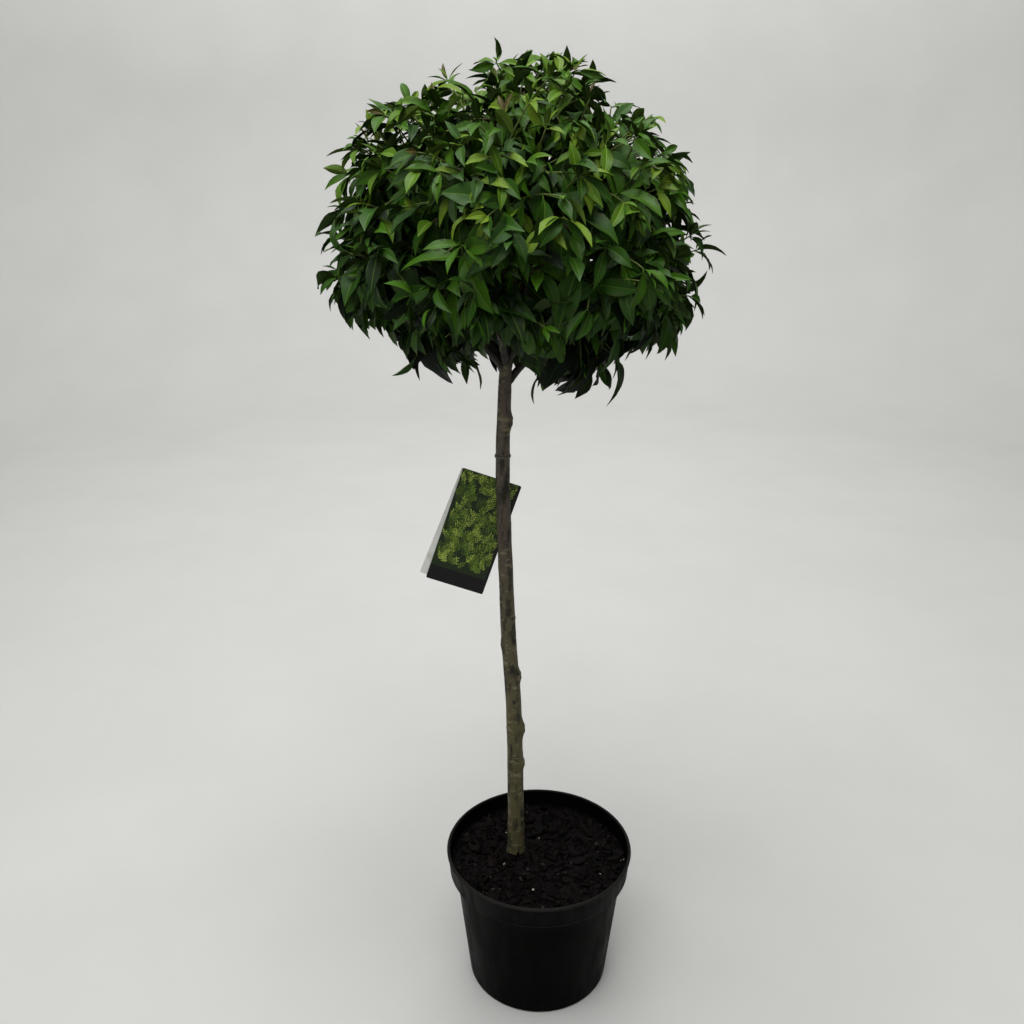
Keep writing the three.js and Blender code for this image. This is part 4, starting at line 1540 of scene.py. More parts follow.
@dataclass
class LeafPress:
    """Turns many leaves at once into two-skinned blades with a rib and a stalk.

    A blade's rows run from its stalk's root to near its tip, and end in one point. Its six columns are the
    two margins, the middles of the two halves and the two sides of the rib.
    """

    leaves: Sequence[Leaf]
    stations = np.array((0.10, 0.22, 0.36, 0.50, 0.65, 0.79, 0.91))
    stalk_rows = 2
    stalk_share = 0.10
    stalk_half = 0.0008
    rib_half = 0.0007
    rib_taper = 0.7
    rib_limit = 0.4
    half_column = 0.55
    tip_from = 0.62
    tip_sharpness = 0.42
    waves = 1.7
    wave_lag = 1.1
    cup = 0.35
    usual_length = 0.06
    upper_lift = np.array((0.0, 0.00012, 0.00018, 0.00018, 0.00012, 0.0))
    lower_lift = np.array((0.0, 0.00012, 0.0006, 0.0006, 0.00012, 0.0))
    upper_stalk = 2.6
    lower_stalk = 1.5
    rows = stalk_rows + len(stations)
    columns = len(upper_lift)

    def fact(self, name: str) -> np.ndarray:
        """Returns one fact of every leaf, with room for its rows and columns if it is a number."""
        facts = np.array([getattr(leaf, name) for leaf in self.leaves])
        return facts[:, None, None] if facts.ndim == 1 else facts[:, None]

    def outline(self) -> np.ndarray:
        """Returns the blade's half width at each station, as a share of its greatest half width."""
        drawn_out = np.clip((self.stations - self.tip_from) / (1 - self.tip_from), 0, 1) ** 1.2
        return np.sin(np.pi * self.stations ** 0.86) ** 0.85 * (1 - self.tip_sharpness * drawn_out)

    def spine(self) -> tuple[np.ndarray, np.ndarray, np.ndarray]:
        """Bends and twists every leaf's midrib.

        Returns:
            Each row's centre, sideways direction and facing direction for every leaf, with the tip last.
        """
        along = self.fact("along")
        across = np.cross(along, self.fact("light"))
        across /= np.linalg.norm(across, axis=2, keepdims=True)
        face = np.cross(across, along)
        marks = np.concatenate(([-self.stalk_share, 0.0], self.stations, [1.0]))[None, :, None]
        angle = self.fact("bend") * np.sign(marks) * np.abs(marks) ** BEND_POWER
        middle = (angle[:, 1:] + angle[:, :-1]) / 2
        runs = self.fact("length") * np.diff(marks, axis=1) * (np.cos(middle) * along - np.sin(middle) * face)
        gone = np.concatenate((np.zeros_like(runs[:, :1]), np.cumsum(runs, axis=1)), axis=1)
        facing = np.cos(angle) * face + np.sin(angle) * along
        turned = self.fact("twist") * np.clip(marks, 0, 1)
        sideways = np.cos(turned) * across + np.sin(turned) * facing
        return self.fact("root") + gone, sideways, np.cos(turned) * facing - np.sin(turned) * across

    def points(self) -> np.ndarray:
        """Works out every leaf's points.

        Returns:
            For each leaf the upper skin's rows and tip, and then the lower skin's.
        """
        centre, sideways, facing = self.spine()
        fold = self.fact("fold")
        scale = self.fact("length") / self.usual_length
        blade = self.fact("width") / 2 * self.outline()[None, :, None]
        stalk = np.full((len(self.leaves), self.stalk_rows, 1), self.stalk_half) * scale
        half = np.concatenate((stalk, blade), axis=1)
        along_share = np.concatenate(([0.0] * self.stalk_rows, self.stations))[None, :, None]
        rib = np.minimum(self.rib_half * (1 - self.rib_taper * along_share) * scale, half * self.rib_limit)
        inner = half * self.half_column
        x = np.concatenate((-half, -inner, -rib, rib, inner, half), axis=2)
        out = np.abs(x) / half
        ripple = np.sin(FULL_TURN * self.waves * along_share + self.fact("phase")
                        + np.sign(x) * self.wave_lag)
        lift = np.abs(x) * fold * (1 - self.cup * out) + self.fact("wave") * half * ripple * out ** 2
        on_blade = (np.arange(self.rows) >= self.stalk_rows)[None, :, None]
        lift = lift * on_blade
        upper = lift + self.upper_lift * np.where(on_blade, 1.0, self.upper_stalk) * scale
        lower = lift - self.lower_lift * np.where(on_blade, 1.0, self.lower_stalk) * scale
        skins = []
        for height in (upper, lower):
            skin = (centre[:, :-1, None] + x[..., None] * sideways[:, :-1, None]
                    + height[..., None] * facing[:, :-1, None])
            skins += [skin.reshape(len(self.leaves), -1, 3), centre[:, -1:]]
        return np.concatenate(skins, axis=1)

    def template(self) -> tuple[Faces, list[int]]:
        """Lays out one leaf's faces.

        Returns:
            The faces, and for each 0 for upper skin, 1 for lower skin and 2 for rib or stalk.
        """
        rows, columns = self.rows, self.columns
        skin = rows * columns + 1
        rib = columns // 2 - 1
        faces: Faces = []
        kinds: list[int] = []
        for side in (0, 1):
            for i in range(rows):
                for j in range(columns - 1):
                    a = side * skin + i * columns + j
                    face = [a, a + 1, a + 1 + columns, a + columns]
                    if i == rows - 1:
                        face = [a, a + 1, side * skin + skin - 1]
                    faces.append(face if side == 0 else face[::-1])
                    kinds.append(2 if j == rib or i == 0 else side)
        faces.append([*reversed(range(columns)), *range(skin + 1, skin + columns - 1)])
        kinds.append(2)
        return faces, kinds

    def press(self, pieces: Pieces) -> None:
        """Adds the leaves to a mesh in the making.

        Args:
            pieces: what they are added to.
        """
        faces, kinds = self.template()
        for leaf, points in zip(self.leaves, self.points()):
            kin = KIN.get(leaf.tint, 0)
            dealt = (TINTS.index(leaf.tint), FIRST_UNDER + kin, FIRST_RIB + kin)
            pieces.add(points, faces, [dealt[kind] for kind in kinds])


@dataclass
class Head:
    """The leafy head: finer shoots carried on from the twigs, and leaves of the real size on them."""

    skeleton: Skeleton
    side_shoots: int = 5
    shoot_length: Range = (0.048, 0.085)
    shoot_radii: Range = (0.0014, 0.0008)
    shoot_room: float = 0.003
    shoot_tries: int = 5
    shoot_cut: float = 0.78
    leaf_tries: int = 3
    leaf_cut: float = 0.8
    leaf_lengths: Range = (0.082, 0.050)
    leaf_slimness: float = 0.39
    pair_spacing: float = 0.0195
    rolls: Range = (1.05, 0.55)
    droops: Range = (1.15, 0.85)
    leaf_twist: float = 0.34
    spare: float = 0.010
    reach: float = 0.995
    top_reach: float = -0.022
    top_height: float = 1.24
    long_reaches: Range = (1.052, 1.012)
    twig_share: float = 0.90
    unevenness: float = 0.185
    unevenness_scale: float = 4.15
    unevenness_shift: Vector = field(default_factory=lambda: Vector((1.36, 2.77, -1.16)))
    raggedness: float = 0.2
    ragged_scale: float = 10.0
    ragged_leaves: float = 0.13
    under_reach: float = -0.18
    under_height: float = 1.045
    under_middle: Range = (-0.01, 0.012)
    under_radius: float = 0.075
    thin_side_reach: float = -0.064
    thin_side_height: float = 1.135
    open_height: float = 1.0
    open_radius: float = 0.045
    open_front: float = 0.032
    front_reach: float = 0.017
    bare_below: float = -0.30
    bare_scale: float = 17.0
    thin_under: float = 0.6
    bough_sides: int = 20
    bough_steps: int = 56
    bough_ridge: float = 0.00028
    bough_knuckle: float = 0.0005
    bough_knuckles: int = 7
    # The boughs' bark is a darker copy of the trunk's: painted shade inside the head.
    bark: BarkFinish = BarkFinish("bough_bark", (36, 33, 23), (34, 30, 24), (22, 20, 15), (44, 39, 30),
                                  (62, 56, 44), (0.9, 1.2))
    seed: int = 123
    mass: Mass = field(init=False)
    draw: random.Random = field(init=False)
    leaves: list[Leaf] = field(init=False)

    def height_share(self, point: Vector) -> float:
        """Returns 0 at the bottom of the head and 1 at its top."""
        return self.skeleton.shape.height_share(point)

    def fringe(self, point: Vector) -> float:
        """Returns 1 at the head's lower edge and 0 from its middle up."""
        return 1 - smoothstep(self.height_share(point) / 0.5)

    def side_shoot(self, parent: Shoot, share: float, turn: float) -> Shoot | None:
        """Grows a finer shoot from a twig.

        Args:
            parent: the twig that it leaves.
            share: where along the twig it starts.
            turn: its turn round the twig.

        Returns:
            The shoot, or None where its space doesn't take one.
        """
        shape = self.skeleton.shape
        start = parent.bow.point(share)
        along = parent.bow.tangent(share)
        side, front = sides_at(along, abs(along.z) > STEEP)
        aim = along * 0.55 + side * math.cos(turn) * 0.8 + front * math.sin(turn) * 0.8
        aim = aim + shape.outward(start) * 0.6
        aim += UP * lerp(-0.25, 0.4, self.height_share(start))
        aim.normalize()
        length = self.draw.uniform(*self.shoot_length)
        for _ in range(self.shoot_tries):
            end = start + aim * length
            outline = self.limit(end, parent.long) * self.twig_share
            if shape.share(end) < outline and self.mass.owns(end, self.spare):
                middle = start + aim * (length * 0.5) + UP * (length * lerp(0.06, 0.16, self.draw.random()))
                bow = Bow(start, middle, end)
                if all(self.skeleton.clear_of_limbs(bow.point(k / 4), self.shoot_room) for k in range(5)):
                    return Shoot(bow, self.shoot_radii, parent.long, twig=False)
            length *= self.shoot_cut
        return None

    def tint_for(self, point: Vector) -> LeafTint:
        """Deals a spray its tint: brighter near the top and outline, for young growth and painted light;
        darker low down and inside, painted shade.

        Args:
            point: a place near the spray's tip.

        Returns:
            The tint.
        """
        height = self.height_share(point)
        # Sprays near the outline and the top score brighter: young growth, and painted light where the head
        # is lit.
        out = 0.38 * smoothstep((self.skeleton.shape.share(point) - 0.45) / 0.5)
        # Painted shade under the head: the lowest sprays are dealt darker tints.
        shaded = 0.12 * (1 - smoothstep(height / 0.22))
        youth = out * lerp(0.2, 1.2, height) + self.draw.gauss(0, 0.11) + lerp(0.04, 0.15, height) - shaded
        tints = next(tints for limit, tints in TINTS_BY_YOUTH_AND_LIGHT if youth < limit)
        return self.draw.choice(tints) if len(tints) > 1 else tints[0]

    def limit(self, point: Vector, long: bool) -> float:
        """Works out how far out the head reaches near a point, with its hollows and its thin right side.

        Args:
            point: the point.
            long: whether it is on a shoot that stands out of the outline.

        Returns:
            The reach, where 1 is the outline.
        """
        outward = self.skeleton.shape.outward(point)
        uneven = self.unevenness * noise.noise(outward * self.unevenness_scale + self.unevenness_shift)
        top = smoothstep((point.z - self.top_height) / 0.06)
        if long:
            return lerp(*self.long_reaches, top) + uneven * 0.3
        uneven += self.raggedness * self.fringe(point) * noise.noise(outward * self.ragged_scale)
        away = math.hypot(point.x - self.under_middle[0], point.y - self.under_middle[1])
        low = smoothstep((self.under_height - point.z) / 0.05)
        under = self.under_reach * low * smoothstep((away - self.under_radius) / 0.05)
        beside = smoothstep((self.thin_side_height - point.z) / 0.06) * max(0.0, outward.x) ** 3
        return self.reach + uneven + self.top_reach * top + under + self.thin_side_reach * beside

    def in_opening(self, point: Vector) -> bool:
        """Tells whether a point is in the space left open round and before the top of the clear stem.

        Args:
            point: the point.

        Returns:
            Whether it is.
        """
        if point.z > self.open_height:
            return False
        stem = self.skeleton.trunk.line.at_height(point.z)
        before = point.y < stem.y and abs(point.x - stem.x) < self.open_front
        return before or (point - stem).length < self.open_radius

    def fits(self, leaf: Leaf, long: bool) -> bool:
        """Tells whether a leaf keeps off the limbs, in its own space and inside the outline.

        Args:
            leaf: the leaf.
            long: whether its shoot stands out of the outline.

        Returns:
            Whether it does.
        """
        skeleton = self.skeleton
        middle, tip = leaf.point(0.5), leaf.point(1.0)
        reach = self.limit(tip, long) + self.ragged_leaves * self.fringe(tip) * leaf.boldness()
        if tip.y < CAD_BOX[0][1] - self.front_reach or not self.mass.owns(middle, self.spare):
            return False
        if any(skeleton.shape.share(point) > reach or self.in_opening(point) for point in (tip, middle)):
            return False
        return all(skeleton.clear_of_limbs(point, leaf.width * 0.3) for point in (middle, tip))

    def add_leaf(self, root: Vector, axes: Sequence[Vector], turn: float, opening: float, size: float,
                 youth: float, tint: LeafTint, long: bool) -> None:
        """Adds a leaf to a shoot where it fits, or a smaller one in its place, or none.

        Args:
            root: where its stalk starts.
            axes: the shoot's direction there, its side and its front.
            turn: the leaf's turn round the shoot.
            opening: its angle to the shoot before it hangs.
            size: its length as a share of a full leaf's there.
            youth: 0 for a full-grown leaf and 1 for one at a shoot's tip.
            tint: its colour.
            long: whether the shoot stands out of the outline.
        """
        draw = self.draw
        along, side, front = axes
        across = side * math.cos(turn) + front * math.sin(turn)
        aim = along * math.cos(opening) + across * math.sin(opening)
        height = self.height_share(root)
        length = lerp(*self.leaf_lengths, smoothstep(height)) * size * draw.uniform(0.85, 1.15)
        droop = lerp(*self.droops, smoothstep(height)) * (1 - 0.85 * youth) * draw.uniform(0.55, 1.3)
        aim = (aim - UP * droop).normalized()
        roll = Matrix.Rotation(draw.gauss(0, lerp(*self.rolls, smoothstep(height / 0.5))), 3, aim)
        light = roll @ (self.skeleton.shape.outward(root) * 0.7 + UP)
        slim = self.leaf_slimness * draw.uniform(0.82, 1.18) * lerp(1.0, 0.75, youth)
        leaf = Leaf(
            root=root, along=aim, light=light.normalized(), length=length, width=length * slim,
            bend=draw.uniform(0.5, 1.4) * (1 - 0.5 * youth), fold=draw.uniform(0.3, 0.75) + 0.25 * youth,
            wave=draw.uniform(0.08, 0.3) * (1 - youth), phase=draw.uniform(0, FULL_TURN),
            twist=draw.gauss(0, self.leaf_twist), tint=tint,
        )
        for _ in range(self.leaf_tries):
            if self.fits(leaf, long):
                self.leaves.append(leaf)
                return
            leaf.length *= self.leaf_cut
            leaf.width *= self.leaf_cut

    def dress(self, shoot: Shoot, first: float) -> None:
        """Grows a shoot's leaves: pairs that cross each other, and small ones round its tip.

        Args:
            shoot: the shoot.
            first: where along it the lowest pair stands.
        """
        bow, steep = shoot.bow, shoot.bow.steep()
        pairs = max(2, round(bow.length() * (1 - first) / self.pair_spacing))
        start_turn = self.draw.uniform(0, math.pi)
        tint = self.tint_for(bow.point(0.9))
        for k in range(pairs):
            youth = k / (pairs - 1)
            share = lerp(first, 0.97, youth)
            along = bow.tangent(share)
            axes = (along, *sides_at(along, steep))
            size = lerp(0.66, 1.0, smoothstep((1 - youth) * 1.6))
            for half in (0, 1):
                turn = start_turn + k * math.pi / 2 + half * math.pi + self.draw.gauss(0, 0.2)
                self.add_leaf(bow.point(share), axes, turn, lerp(0.62, 1.12, 1 - youth), size, youth * 0.45,
                              tint, shoot.long)
        self.dress_tip(shoot)

    def dress_tip(self, shoot: Shoot) -> None:
        """Grows the few small, narrow leaves that stand up round a shoot's tip.

        Args:
            shoot: the shoot.
        """
        draw = self.draw
        end = shoot.bow.point(1)
        height = self.height_share(end)
        along = (shoot.bow.tangent(1) + UP * lerp(0.0, 0.5, height)).normalized()
        axes = (along, *sides_at(along, abs(along.z) > STEEP))
        first_turn = draw.uniform(0, FULL_TURN)
        tip_tint = draw.choice((LeafTint.FRESH, LeafTint.MATURE))
        if height > 0.55:
            tip_tint = draw.choice((LeafTint.LIME, LeafTint.BRIGHT, LeafTint.FRESH))
        upright = draw.random() < lerp(0.15, 0.45, height)
        for k in range(4 if upright else 2):
            opening, size, youth = (0.8, 0.62, 0.5) if k < 2 else (0.25, 0.4, 0.95)
            turn = first_turn + k * math.pi + (k // 2) * math.pi / 2
            dark = k >= 2 and height > 0.6 and draw.random() < 0.5
            self.add_leaf(end, axes, turn, opening, size * draw.uniform(0.8, 1.2), youth,
                          LeafTint.TIP if dark else tip_tint, shoot.long)

    def left_bare(self, end: Vector) -> bool:
        """Returns whether a finer shoot is left out: in dark hollows, and often under the head."""
        thinned = self.thin_under * (1 - smoothstep(self.height_share(end) / 0.35))
        return noise.noise(end * self.bare_scale) < self.bare_below or self.draw.random() < thinned

    def grow(self, mass: Mass) -> list[Shoot]:
        """Grows a mass's finer shoots, and leaves on all its shoots.

        Args:
            mass: the mass.

        Returns:
            Its twigs and finer shoots.
        """
        self.mass = mass
        self.draw = random.Random(self.seed * 1000 + mass.seed)
        self.leaves = []
        shoots = []
        for twig in mass.twigs:
            shoots.append(twig)
            self.dress(twig, 0.55)
            turn = self.draw.uniform(0, FULL_TURN)
            for k in range(self.side_shoots):
                share = lerp(0.3, 0.85, (k + self.draw.random() * 0.6) / self.side_shoots)
                shoot = self.side_shoot(twig, share, turn + k * GOLDEN_ANGLE)
                if shoot and not self.left_bare(shoot.bow.end):
                    shoots.append(shoot)
                    self.dress(shoot, 0.28)
        return shoots

    def twigs(self, shoots: Sequence[Shoot]) -> Pieces:
        """Rounds the mass's stem, twigs and finer shoots.

        Args:
            shoots: its twigs and finer shoots.

        Returns:
            Their mesh in the making, with green shoots in slot 0 and brown twigs in slot 1.
        """
        pieces = Pieces()
        stem_radii = (self.skeleton.bough_radii[1], self.skeleton.twig_radii[0])
        add_limb(pieces, self.skeleton.stem(self.mass), stem_radii, 8, 8, 1)
        for shoot in shoots:
            sides, steps = (7, 8) if shoot.twig else (5, 5)
            add_limb(pieces, shoot.bow, shoot.radii, sides, steps, int(shoot.twig))
        return pieces

    def bough_relief(self, place: Vector, share: float) -> float:
        """Works out how far a bough's bark stands out, with low ridges and a few knuckles along it.

        Args:
            place: the place on the smooth bough.
            share: the share along it.

        Returns:
            How far it stands out.
        """
        ridges = noise.fractal(Vector((place.x * 300, place.y * 300, place.z * 90)), 0.9, 2.0, 3)
        knuckle = math.exp(-((share * self.bough_knuckles) % 1 - 0.5) ** 2 * 60)
        return self.bough_ridge * ridges + self.bough_knuckle * knuckle

    def build(self) -> None:
        """Makes each mass's leaves and twigs, and the boughs."""
        uppers = (tint.value for tint in TINTS)
        blades = [finish.build() for finish in (*uppers, *UNDER_FINISHES, *RIB_FINISHES)]
        twig_finishes = (LeafFinish("twig_green", (74, 86, 40)), LeafFinish("twig_brown", (56, 48, 32)))
        wood = [finish.build() for finish in twig_finishes]
        total = 0
        for mass in self.skeleton.masses:
            shoots = self.grow(mass)
            total += len(self.leaves)
            foliage = f"foliage_{mass.name}"
            leafage = Pieces()
            LeafPress(self.leaves).press(leafage)
            hand_over(leafage.build(f"leaves_{mass.name}", blades), Slot.FOLIAGE, foliage)
            hand_over(self.twigs(shoots).build(f"twigs_{mass.name}", wood), Slot.FOLIAGE, foliage)
        log.info("leaves in all: %d", total)
        bark = self.bark.build()
        for mass in self.skeleton.masses:
            bough = Pieces()
            add_limb(bough, mass.bough, self.skeleton.bough_radii, self.bough_sides, self.bough_steps,
                     bark=self.bough_relief)
            hand_over(bough.build(f"bough_bark_{mass.name}", [bark]), Slot.BOUGH, f"bough_{mass.name}")


# The hang label


@dataclass
class Label:
    """The hang label: a printed card with a pale card behind it, on a strap round the trunk."""

    trunk: Trunk
    width: float = 0.083
    height: float = 0.170
    thickness: float = 0.0008
    tilt: float = math.radians(18.8)
    leaf_tilt: float = math.radians(3.0)
    leaf_width: float = 0.0846
    leaf_drop: float = 0.005
    centre: Vector = field(default_factory=lambda: Vector((-0.0947, 0.0, 0.7275)))
    gap: float = 0.0003
    strap_height: float = 0.842
    strap_width: float = 0.0032
    strap_thickness: float = 0.001
    strap_sides: int = 64
    tongue_width: float = 0.009
    tongue_foot: float = 0.786
    tongue_offset: float = -0.050
    tongue_steps: int = 8
    band_height: float = 0.022
    border: float = 0.0036
    top_border: float = 0.0006
    corner: float = 0.002
    corner_steps: int = 4
    ink: float = 0.00001
    sprigs: int = 300
    sprig_margin: float = 0.004
    sprig_foot: float = 0.006
    sprig_lean: float = 0.9
    sprig_leaves: int = 7
    sprig_step: float = 0.0016
    sprig_open: float = 0.85
    leaf_lengths: Range = (0.0042, 0.0062)
    leaf_slimness: float = 0.17
    leaf_outline: tuple[Range, ...] = ((0.3, -1), (0.6, -0.8), (1, 0), (0.6, 0.8), (0.3, 1), (0, 0))
    seed: int = 19
    finishes: tuple[MottledFinish, ...] = (
        card_finish("card_black", (6, 6, 8), (13, 13, 14)),
        card_finish("print_ground", (24, 38, 14), (34, 50, 18)),
        card_finish("print_dark_leaf", (58, 80, 26), (48, 68, 24)),
        card_finish("print_leaf", (98, 124, 38), (84, 108, 36)),
        card_finish("print_pale_leaf", (146, 166, 70), (126, 146, 62)),
    )
    ground_slot: int = 1
    leaf_slots: tuple[int, ...] = (2, 2, 3, 3, 4)
    pale: MottledFinish = card_finish("card_pale", (214, 216, 210), (188, 188, 176), (0.45, 0.6))

    def placed(self, outline: Sequence[Range], depth: float, tilt: float) -> np.ndarray:
        """Puts points of a card, given across and up from its top right corner, where the card hangs.

        Args:
            outline: the points.
            depth: how deep they lie in the scene.
            tilt: the card's tilt.

        Returns:
            The placed points.
        """
        hung = Matrix.Rotation(self.tilt, 3, "Y") @ Vector((self.width / 2, 0, self.height / 2)) + self.centre
        flat = np.array([(x, 0.0, z) for x, z in outline])
        return flat @ np.array(Matrix.Rotation(tilt, 3, "Y")).T + (hung.x, depth, hung.z)

    def card(self, pieces: Pieces, width: float, drop: float, tilt: float, front: float) -> None:
        """Adds a card with round corners.

        Args:
            pieces: what it is added to.
            width: its width.
            drop: how far its top edge starts under its hanging corner.
            tilt: its tilt.
            front: the depth of its face.
        """
        outline = []
        for number, (right, top) in enumerate(((0, -drop), (-width, -drop), (-width, -self.height),
                                               (0, -self.height))):
            x = right + (-self.corner if number in (0, 3) else self.corner)
            z = top + (-self.corner if number < 2 else self.corner)
            for i in range(self.corner_steps + 1):
                turn = math.pi / 2 * (number + i / self.corner_steps)
                outline.append((x + self.corner * math.cos(turn), z + self.corner * math.sin(turn)))
        faces = [self.placed(outline, depth, tilt) for depth in (front, front + self.thickness)]
        pieces.add_stack(faces, smooth=False, flip=True)

    def patch(self, pieces: Pieces, outline: Sequence[Range], layers: int, front: float, slot: int) -> None:
        """Adds a flat printed shape, a few layers of ink proud of the card's face."""
        points = self.placed(outline, front - layers * self.ink, self.tilt)
        pieces.add(points, [list(range(len(outline)))], slot, smooth=False)

    def print_pattern(self, pieces: Pieces, front: float) -> None:
        """Adds the generic print: a dark ground with sprigs of leaves over it, which leaves the band bare.

        Args:
            pieces: what it is added to.
            front: the depth of the card's face.
        """
        draw = random.Random(self.seed)
        left, right = -self.width, -self.border
        low, high = -self.height + self.band_height, -self.top_border
        ground = [(right, low), (right, high), (left, high), (left, low)]
        self.patch(pieces, ground, 2, front, self.ground_slot)
        for _ in range(self.sprigs):
            x = draw.uniform(left + self.sprig_margin, right - self.sprig_margin)
            z = draw.uniform(low + self.sprig_foot, high - self.sprig_margin)
            stem = math.pi / 2 + draw.uniform(-self.sprig_lean, self.sprig_lean)
            slot = draw.choice(self.leaf_slots)
            for k in range(self.sprig_leaves):
                side = 0 if k == self.sprig_leaves - 1 else 1 if k % 2 else -1
                turn = stem + side * self.sprig_open
                root = (x + self.sprig_step * k * math.cos(stem), z + self.sprig_step * k * math.sin(stem))
                blade = self.blade(root, turn, draw.uniform(*self.leaf_lengths))
                cut = [(min(max(px, left), right), min(max(pz, low), high)) for px, pz in blade]
                self.patch(pieces, cut, 4 + k, front, slot)

    def blade(self, root: Range, turn: float, length: float) -> list[Range]:
        """Draws one small printed leaf.

        Args:
            root: where it starts, across and up.
            turn: where it points.
            length: its length.

        Returns:
            Its outline.
        """
        outline = []
        for share, wide in self.leaf_outline:
            along, across = length * share, length * self.leaf_slimness * wide
            outline.append((root[0] + math.cos(turn) * along - math.sin(turn) * across,
                            root[1] + math.sin(turn) * along + math.cos(turn) * across))
        return outline

    def build(self) -> None:
        """Makes the card, its print, the card behind it and the strap."""
        tongue_front = self.trunk.depth + self.trunk.taper(self.centre.z - self.height / 2) + self.gap
        card_front = tongue_front + self.strap_thickness + self.gap
        card = Pieces()
        self.card(card, self.width, 0.0, self.tilt, card_front)
        self.print_pattern(card, card_front)
        materials = [finish.build() for finish in self.finishes]
        hand_over(card.build("label_print", materials), Slot.LABEL, "label_card")
        behind = Pieces()
        leaf_front = card_front + self.thickness + self.gap
        self.card(behind, self.leaf_width, self.leaf_drop, self.tilt + self.leaf_tilt, leaf_front)
        hand_over(behind.build("label_back_card", [self.pale.build()]), Slot.LABEL_LEAF, "label_leaf")
        strap = Pieces()
        self.add_band(strap)
        self.add_tongue(strap, tongue_front)
        hand_over(strap.build("label_band", [STRAP_PLASTIC.build()]), Slot.STRAP, "label_strap")

    def add_band(self, pieces: Pieces) -> None:
        """Adds the strap's band round the trunk, with rounded edges.

        Args:
            pieces: what it is added to.
        """
        centre = self.trunk.line.at_height(self.strap_height)
        inner = self.trunk.taper(self.strap_height) + 2 * self.gap
        half, thick = self.strap_width / 2, self.strap_thickness
        section = ((0, -half), (thick * 0.8, -half), (thick, -half * 0.7), (thick, half * 0.7),
                   (thick * 0.8, half), (0, half))
        points = []
        for turn in turns(self.strap_sides):
            for out, up in section:
                points.append((centre.x + (inner + out) * math.cos(turn),
                               centre.y + (inner + out) * math.sin(turn), self.strap_height + up))
        pieces.add(points, band(self.strap_sides, len(section), flip=True, loop=True))

    def add_tongue(self, pieces: Pieces, front: float) -> None:
        """Adds the strap's tongue: a flat strip with a round end.

        Args:
            pieces: what it is added to.
            front: the depth of its face.
        """
        top, wide = self.strap_height + self.strap_width / 2, self.tongue_width / 2
        outline = [(wide, top), (-wide, top)]
        for i in range(self.tongue_steps + 1):
            turn = math.pi * (1 + i / self.tongue_steps)
            outline.append((wide * math.cos(turn), self.tongue_foot + wide + wide * math.sin(turn)))
        pieces.add_stack([[(self.tongue_offset + x, depth, z) for x, z in outline]
                          for depth in (front, front + self.strap_thickness)], smooth=False, flip=True)


# The studio


@dataclass(frozen=True)
class Lamp:
    """A square soft light: its place, what it faces, its side and its power."""

    name: str
    place: Point
    target: Point
    size: float
    watts: float

    def light(self) -> None:
        """Adds the light to the scene."""
        data = bpy.data.lights.new(self.name, "AREA")
        data.shape = "SQUARE"
        data.size = self.size
        data.energy = self.watts
        lamp = bpy.data.objects.new(self.name, data)
        lamp.location = self.place
        lamp.rotation_mode = "QUATERNION"
        lamp.rotation_quaternion = (Vector(self.target) - Vector(self.place)).to_track_quat("-Z", "Y")
        bpy.context.scene.collection.objects.link(lamp)


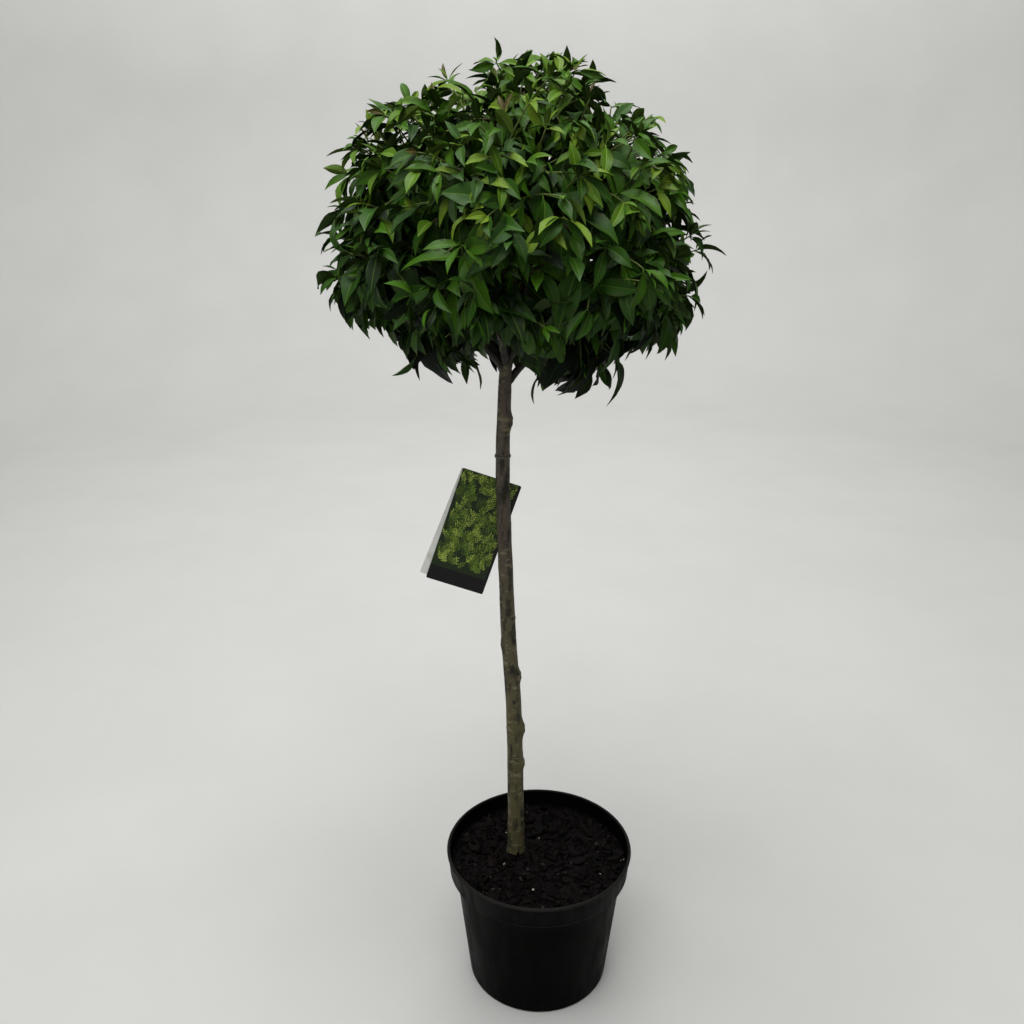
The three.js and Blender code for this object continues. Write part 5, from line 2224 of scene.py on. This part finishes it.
@dataclass
class Studio:
    """A plain pale floor that turns up into a wall all round, soft lights, and the camera."""

    inner_radius: float = 0.5
    flat_radius: float = 3.4
    curve_radius: float = 1.4
    curve_steps: int = 12
    wall_height: float = 4.2
    sides: int = 96
    floor_finish: MottledFinish = MottledFinish(
        "studio_floor", (178, 178, 176), (175.33, 175.33, 173.36), Grain(3.0, 6.0, 0.3, 0.7), (0.7, 0.8), 0.2)
    camera_place: Point = (-0.041, -1.283, 1.253)
    camera_tilt: float = math.radians(20.75)
    lens: float = 36.0
    sensor: float = 36.0
    nearest: float = 0.05
    sky: Colour = (1.0, 0.99, 0.96)
    sky_strength: float = 0.42
    lamps: tuple[Lamp, ...] = (
        Lamp("light_overhead", (-0.3, -0.5, 3.6), (-0.04, 0.0, 1.1), 2.2, 135.0),
        Lamp("light_front", (-1.3, -3.0, 2.9), (-0.04, 0.0, 1.1), 1.8, 30.0),
        Lamp("light_wall", (0.0, 2.4, 3.9), (0.0, 4.8, 1.0), 2.2, 125.0),
    )

    def floor(self) -> None:
        """Makes the floor."""
        profile = [(self.inner_radius, 0.0), (self.flat_radius, 0.0)]
        for i in range(1, self.curve_steps + 1):
            turn = math.pi / 2 * i / self.curve_steps
            profile.append((self.flat_radius + self.curve_radius * math.sin(turn),
                            self.curve_radius * (1 - math.cos(turn))))
        profile.append((self.flat_radius + self.curve_radius, self.wall_height))
        pieces = Pieces()
        pieces.add_turned([hoop(*place, self.sides) for place in profile], 0.0, flip=True)
        pieces.build("studio_floor", [self.floor_finish.build()])

    def light(self) -> None:
        """Adds the lights and the sky."""
        for lamp in self.lamps:
            lamp.light()
        world = bpy.data.worlds.new("studio_sky")
        world.use_nodes = True
        background = world.node_tree.nodes["Background"]
        background.inputs["Color"].default_value = (*self.sky, 1.0)
        background.inputs["Strength"].default_value = self.sky_strength
        bpy.context.scene.world = world

    def camera(self) -> None:
        """Stands the camera where the photograph was taken from."""
        data = bpy.data.cameras.new("photo_camera")
        data.lens = self.lens
        data.sensor_width = self.sensor
        data.clip_start = self.nearest
        camera = bpy.data.objects.new("photo_camera", data)
        camera.location = self.camera_place
        camera.rotation_euler = (math.pi / 2 - self.camera_tilt, 0.0, 0.0)
        bpy.context.scene.collection.objects.link(camera)
        bpy.context.scene.camera = camera

    def build(self) -> None:
        """Makes the camera, floor and lights, and sets how light is shown."""
        self.camera()
        self.floor()
        self.light()
        bpy.context.scene.view_settings.view_transform = "Standard"


def main() -> None:
    """Builds the studio, the pot, the compost, the trunk, the head and the label, in that order."""
    logging.basicConfig(level=logging.INFO, format="%(name)s: %(message)s")
    Studio().build()
    pot = Pot()
    pot.build()
    Compost(pot).build()
    trunk = Trunk()
    trunk.build()
    Head(Skeleton(trunk, HeadShape())).build()
    Label(trunk).build()


if __name__ == "__main__":
    main()
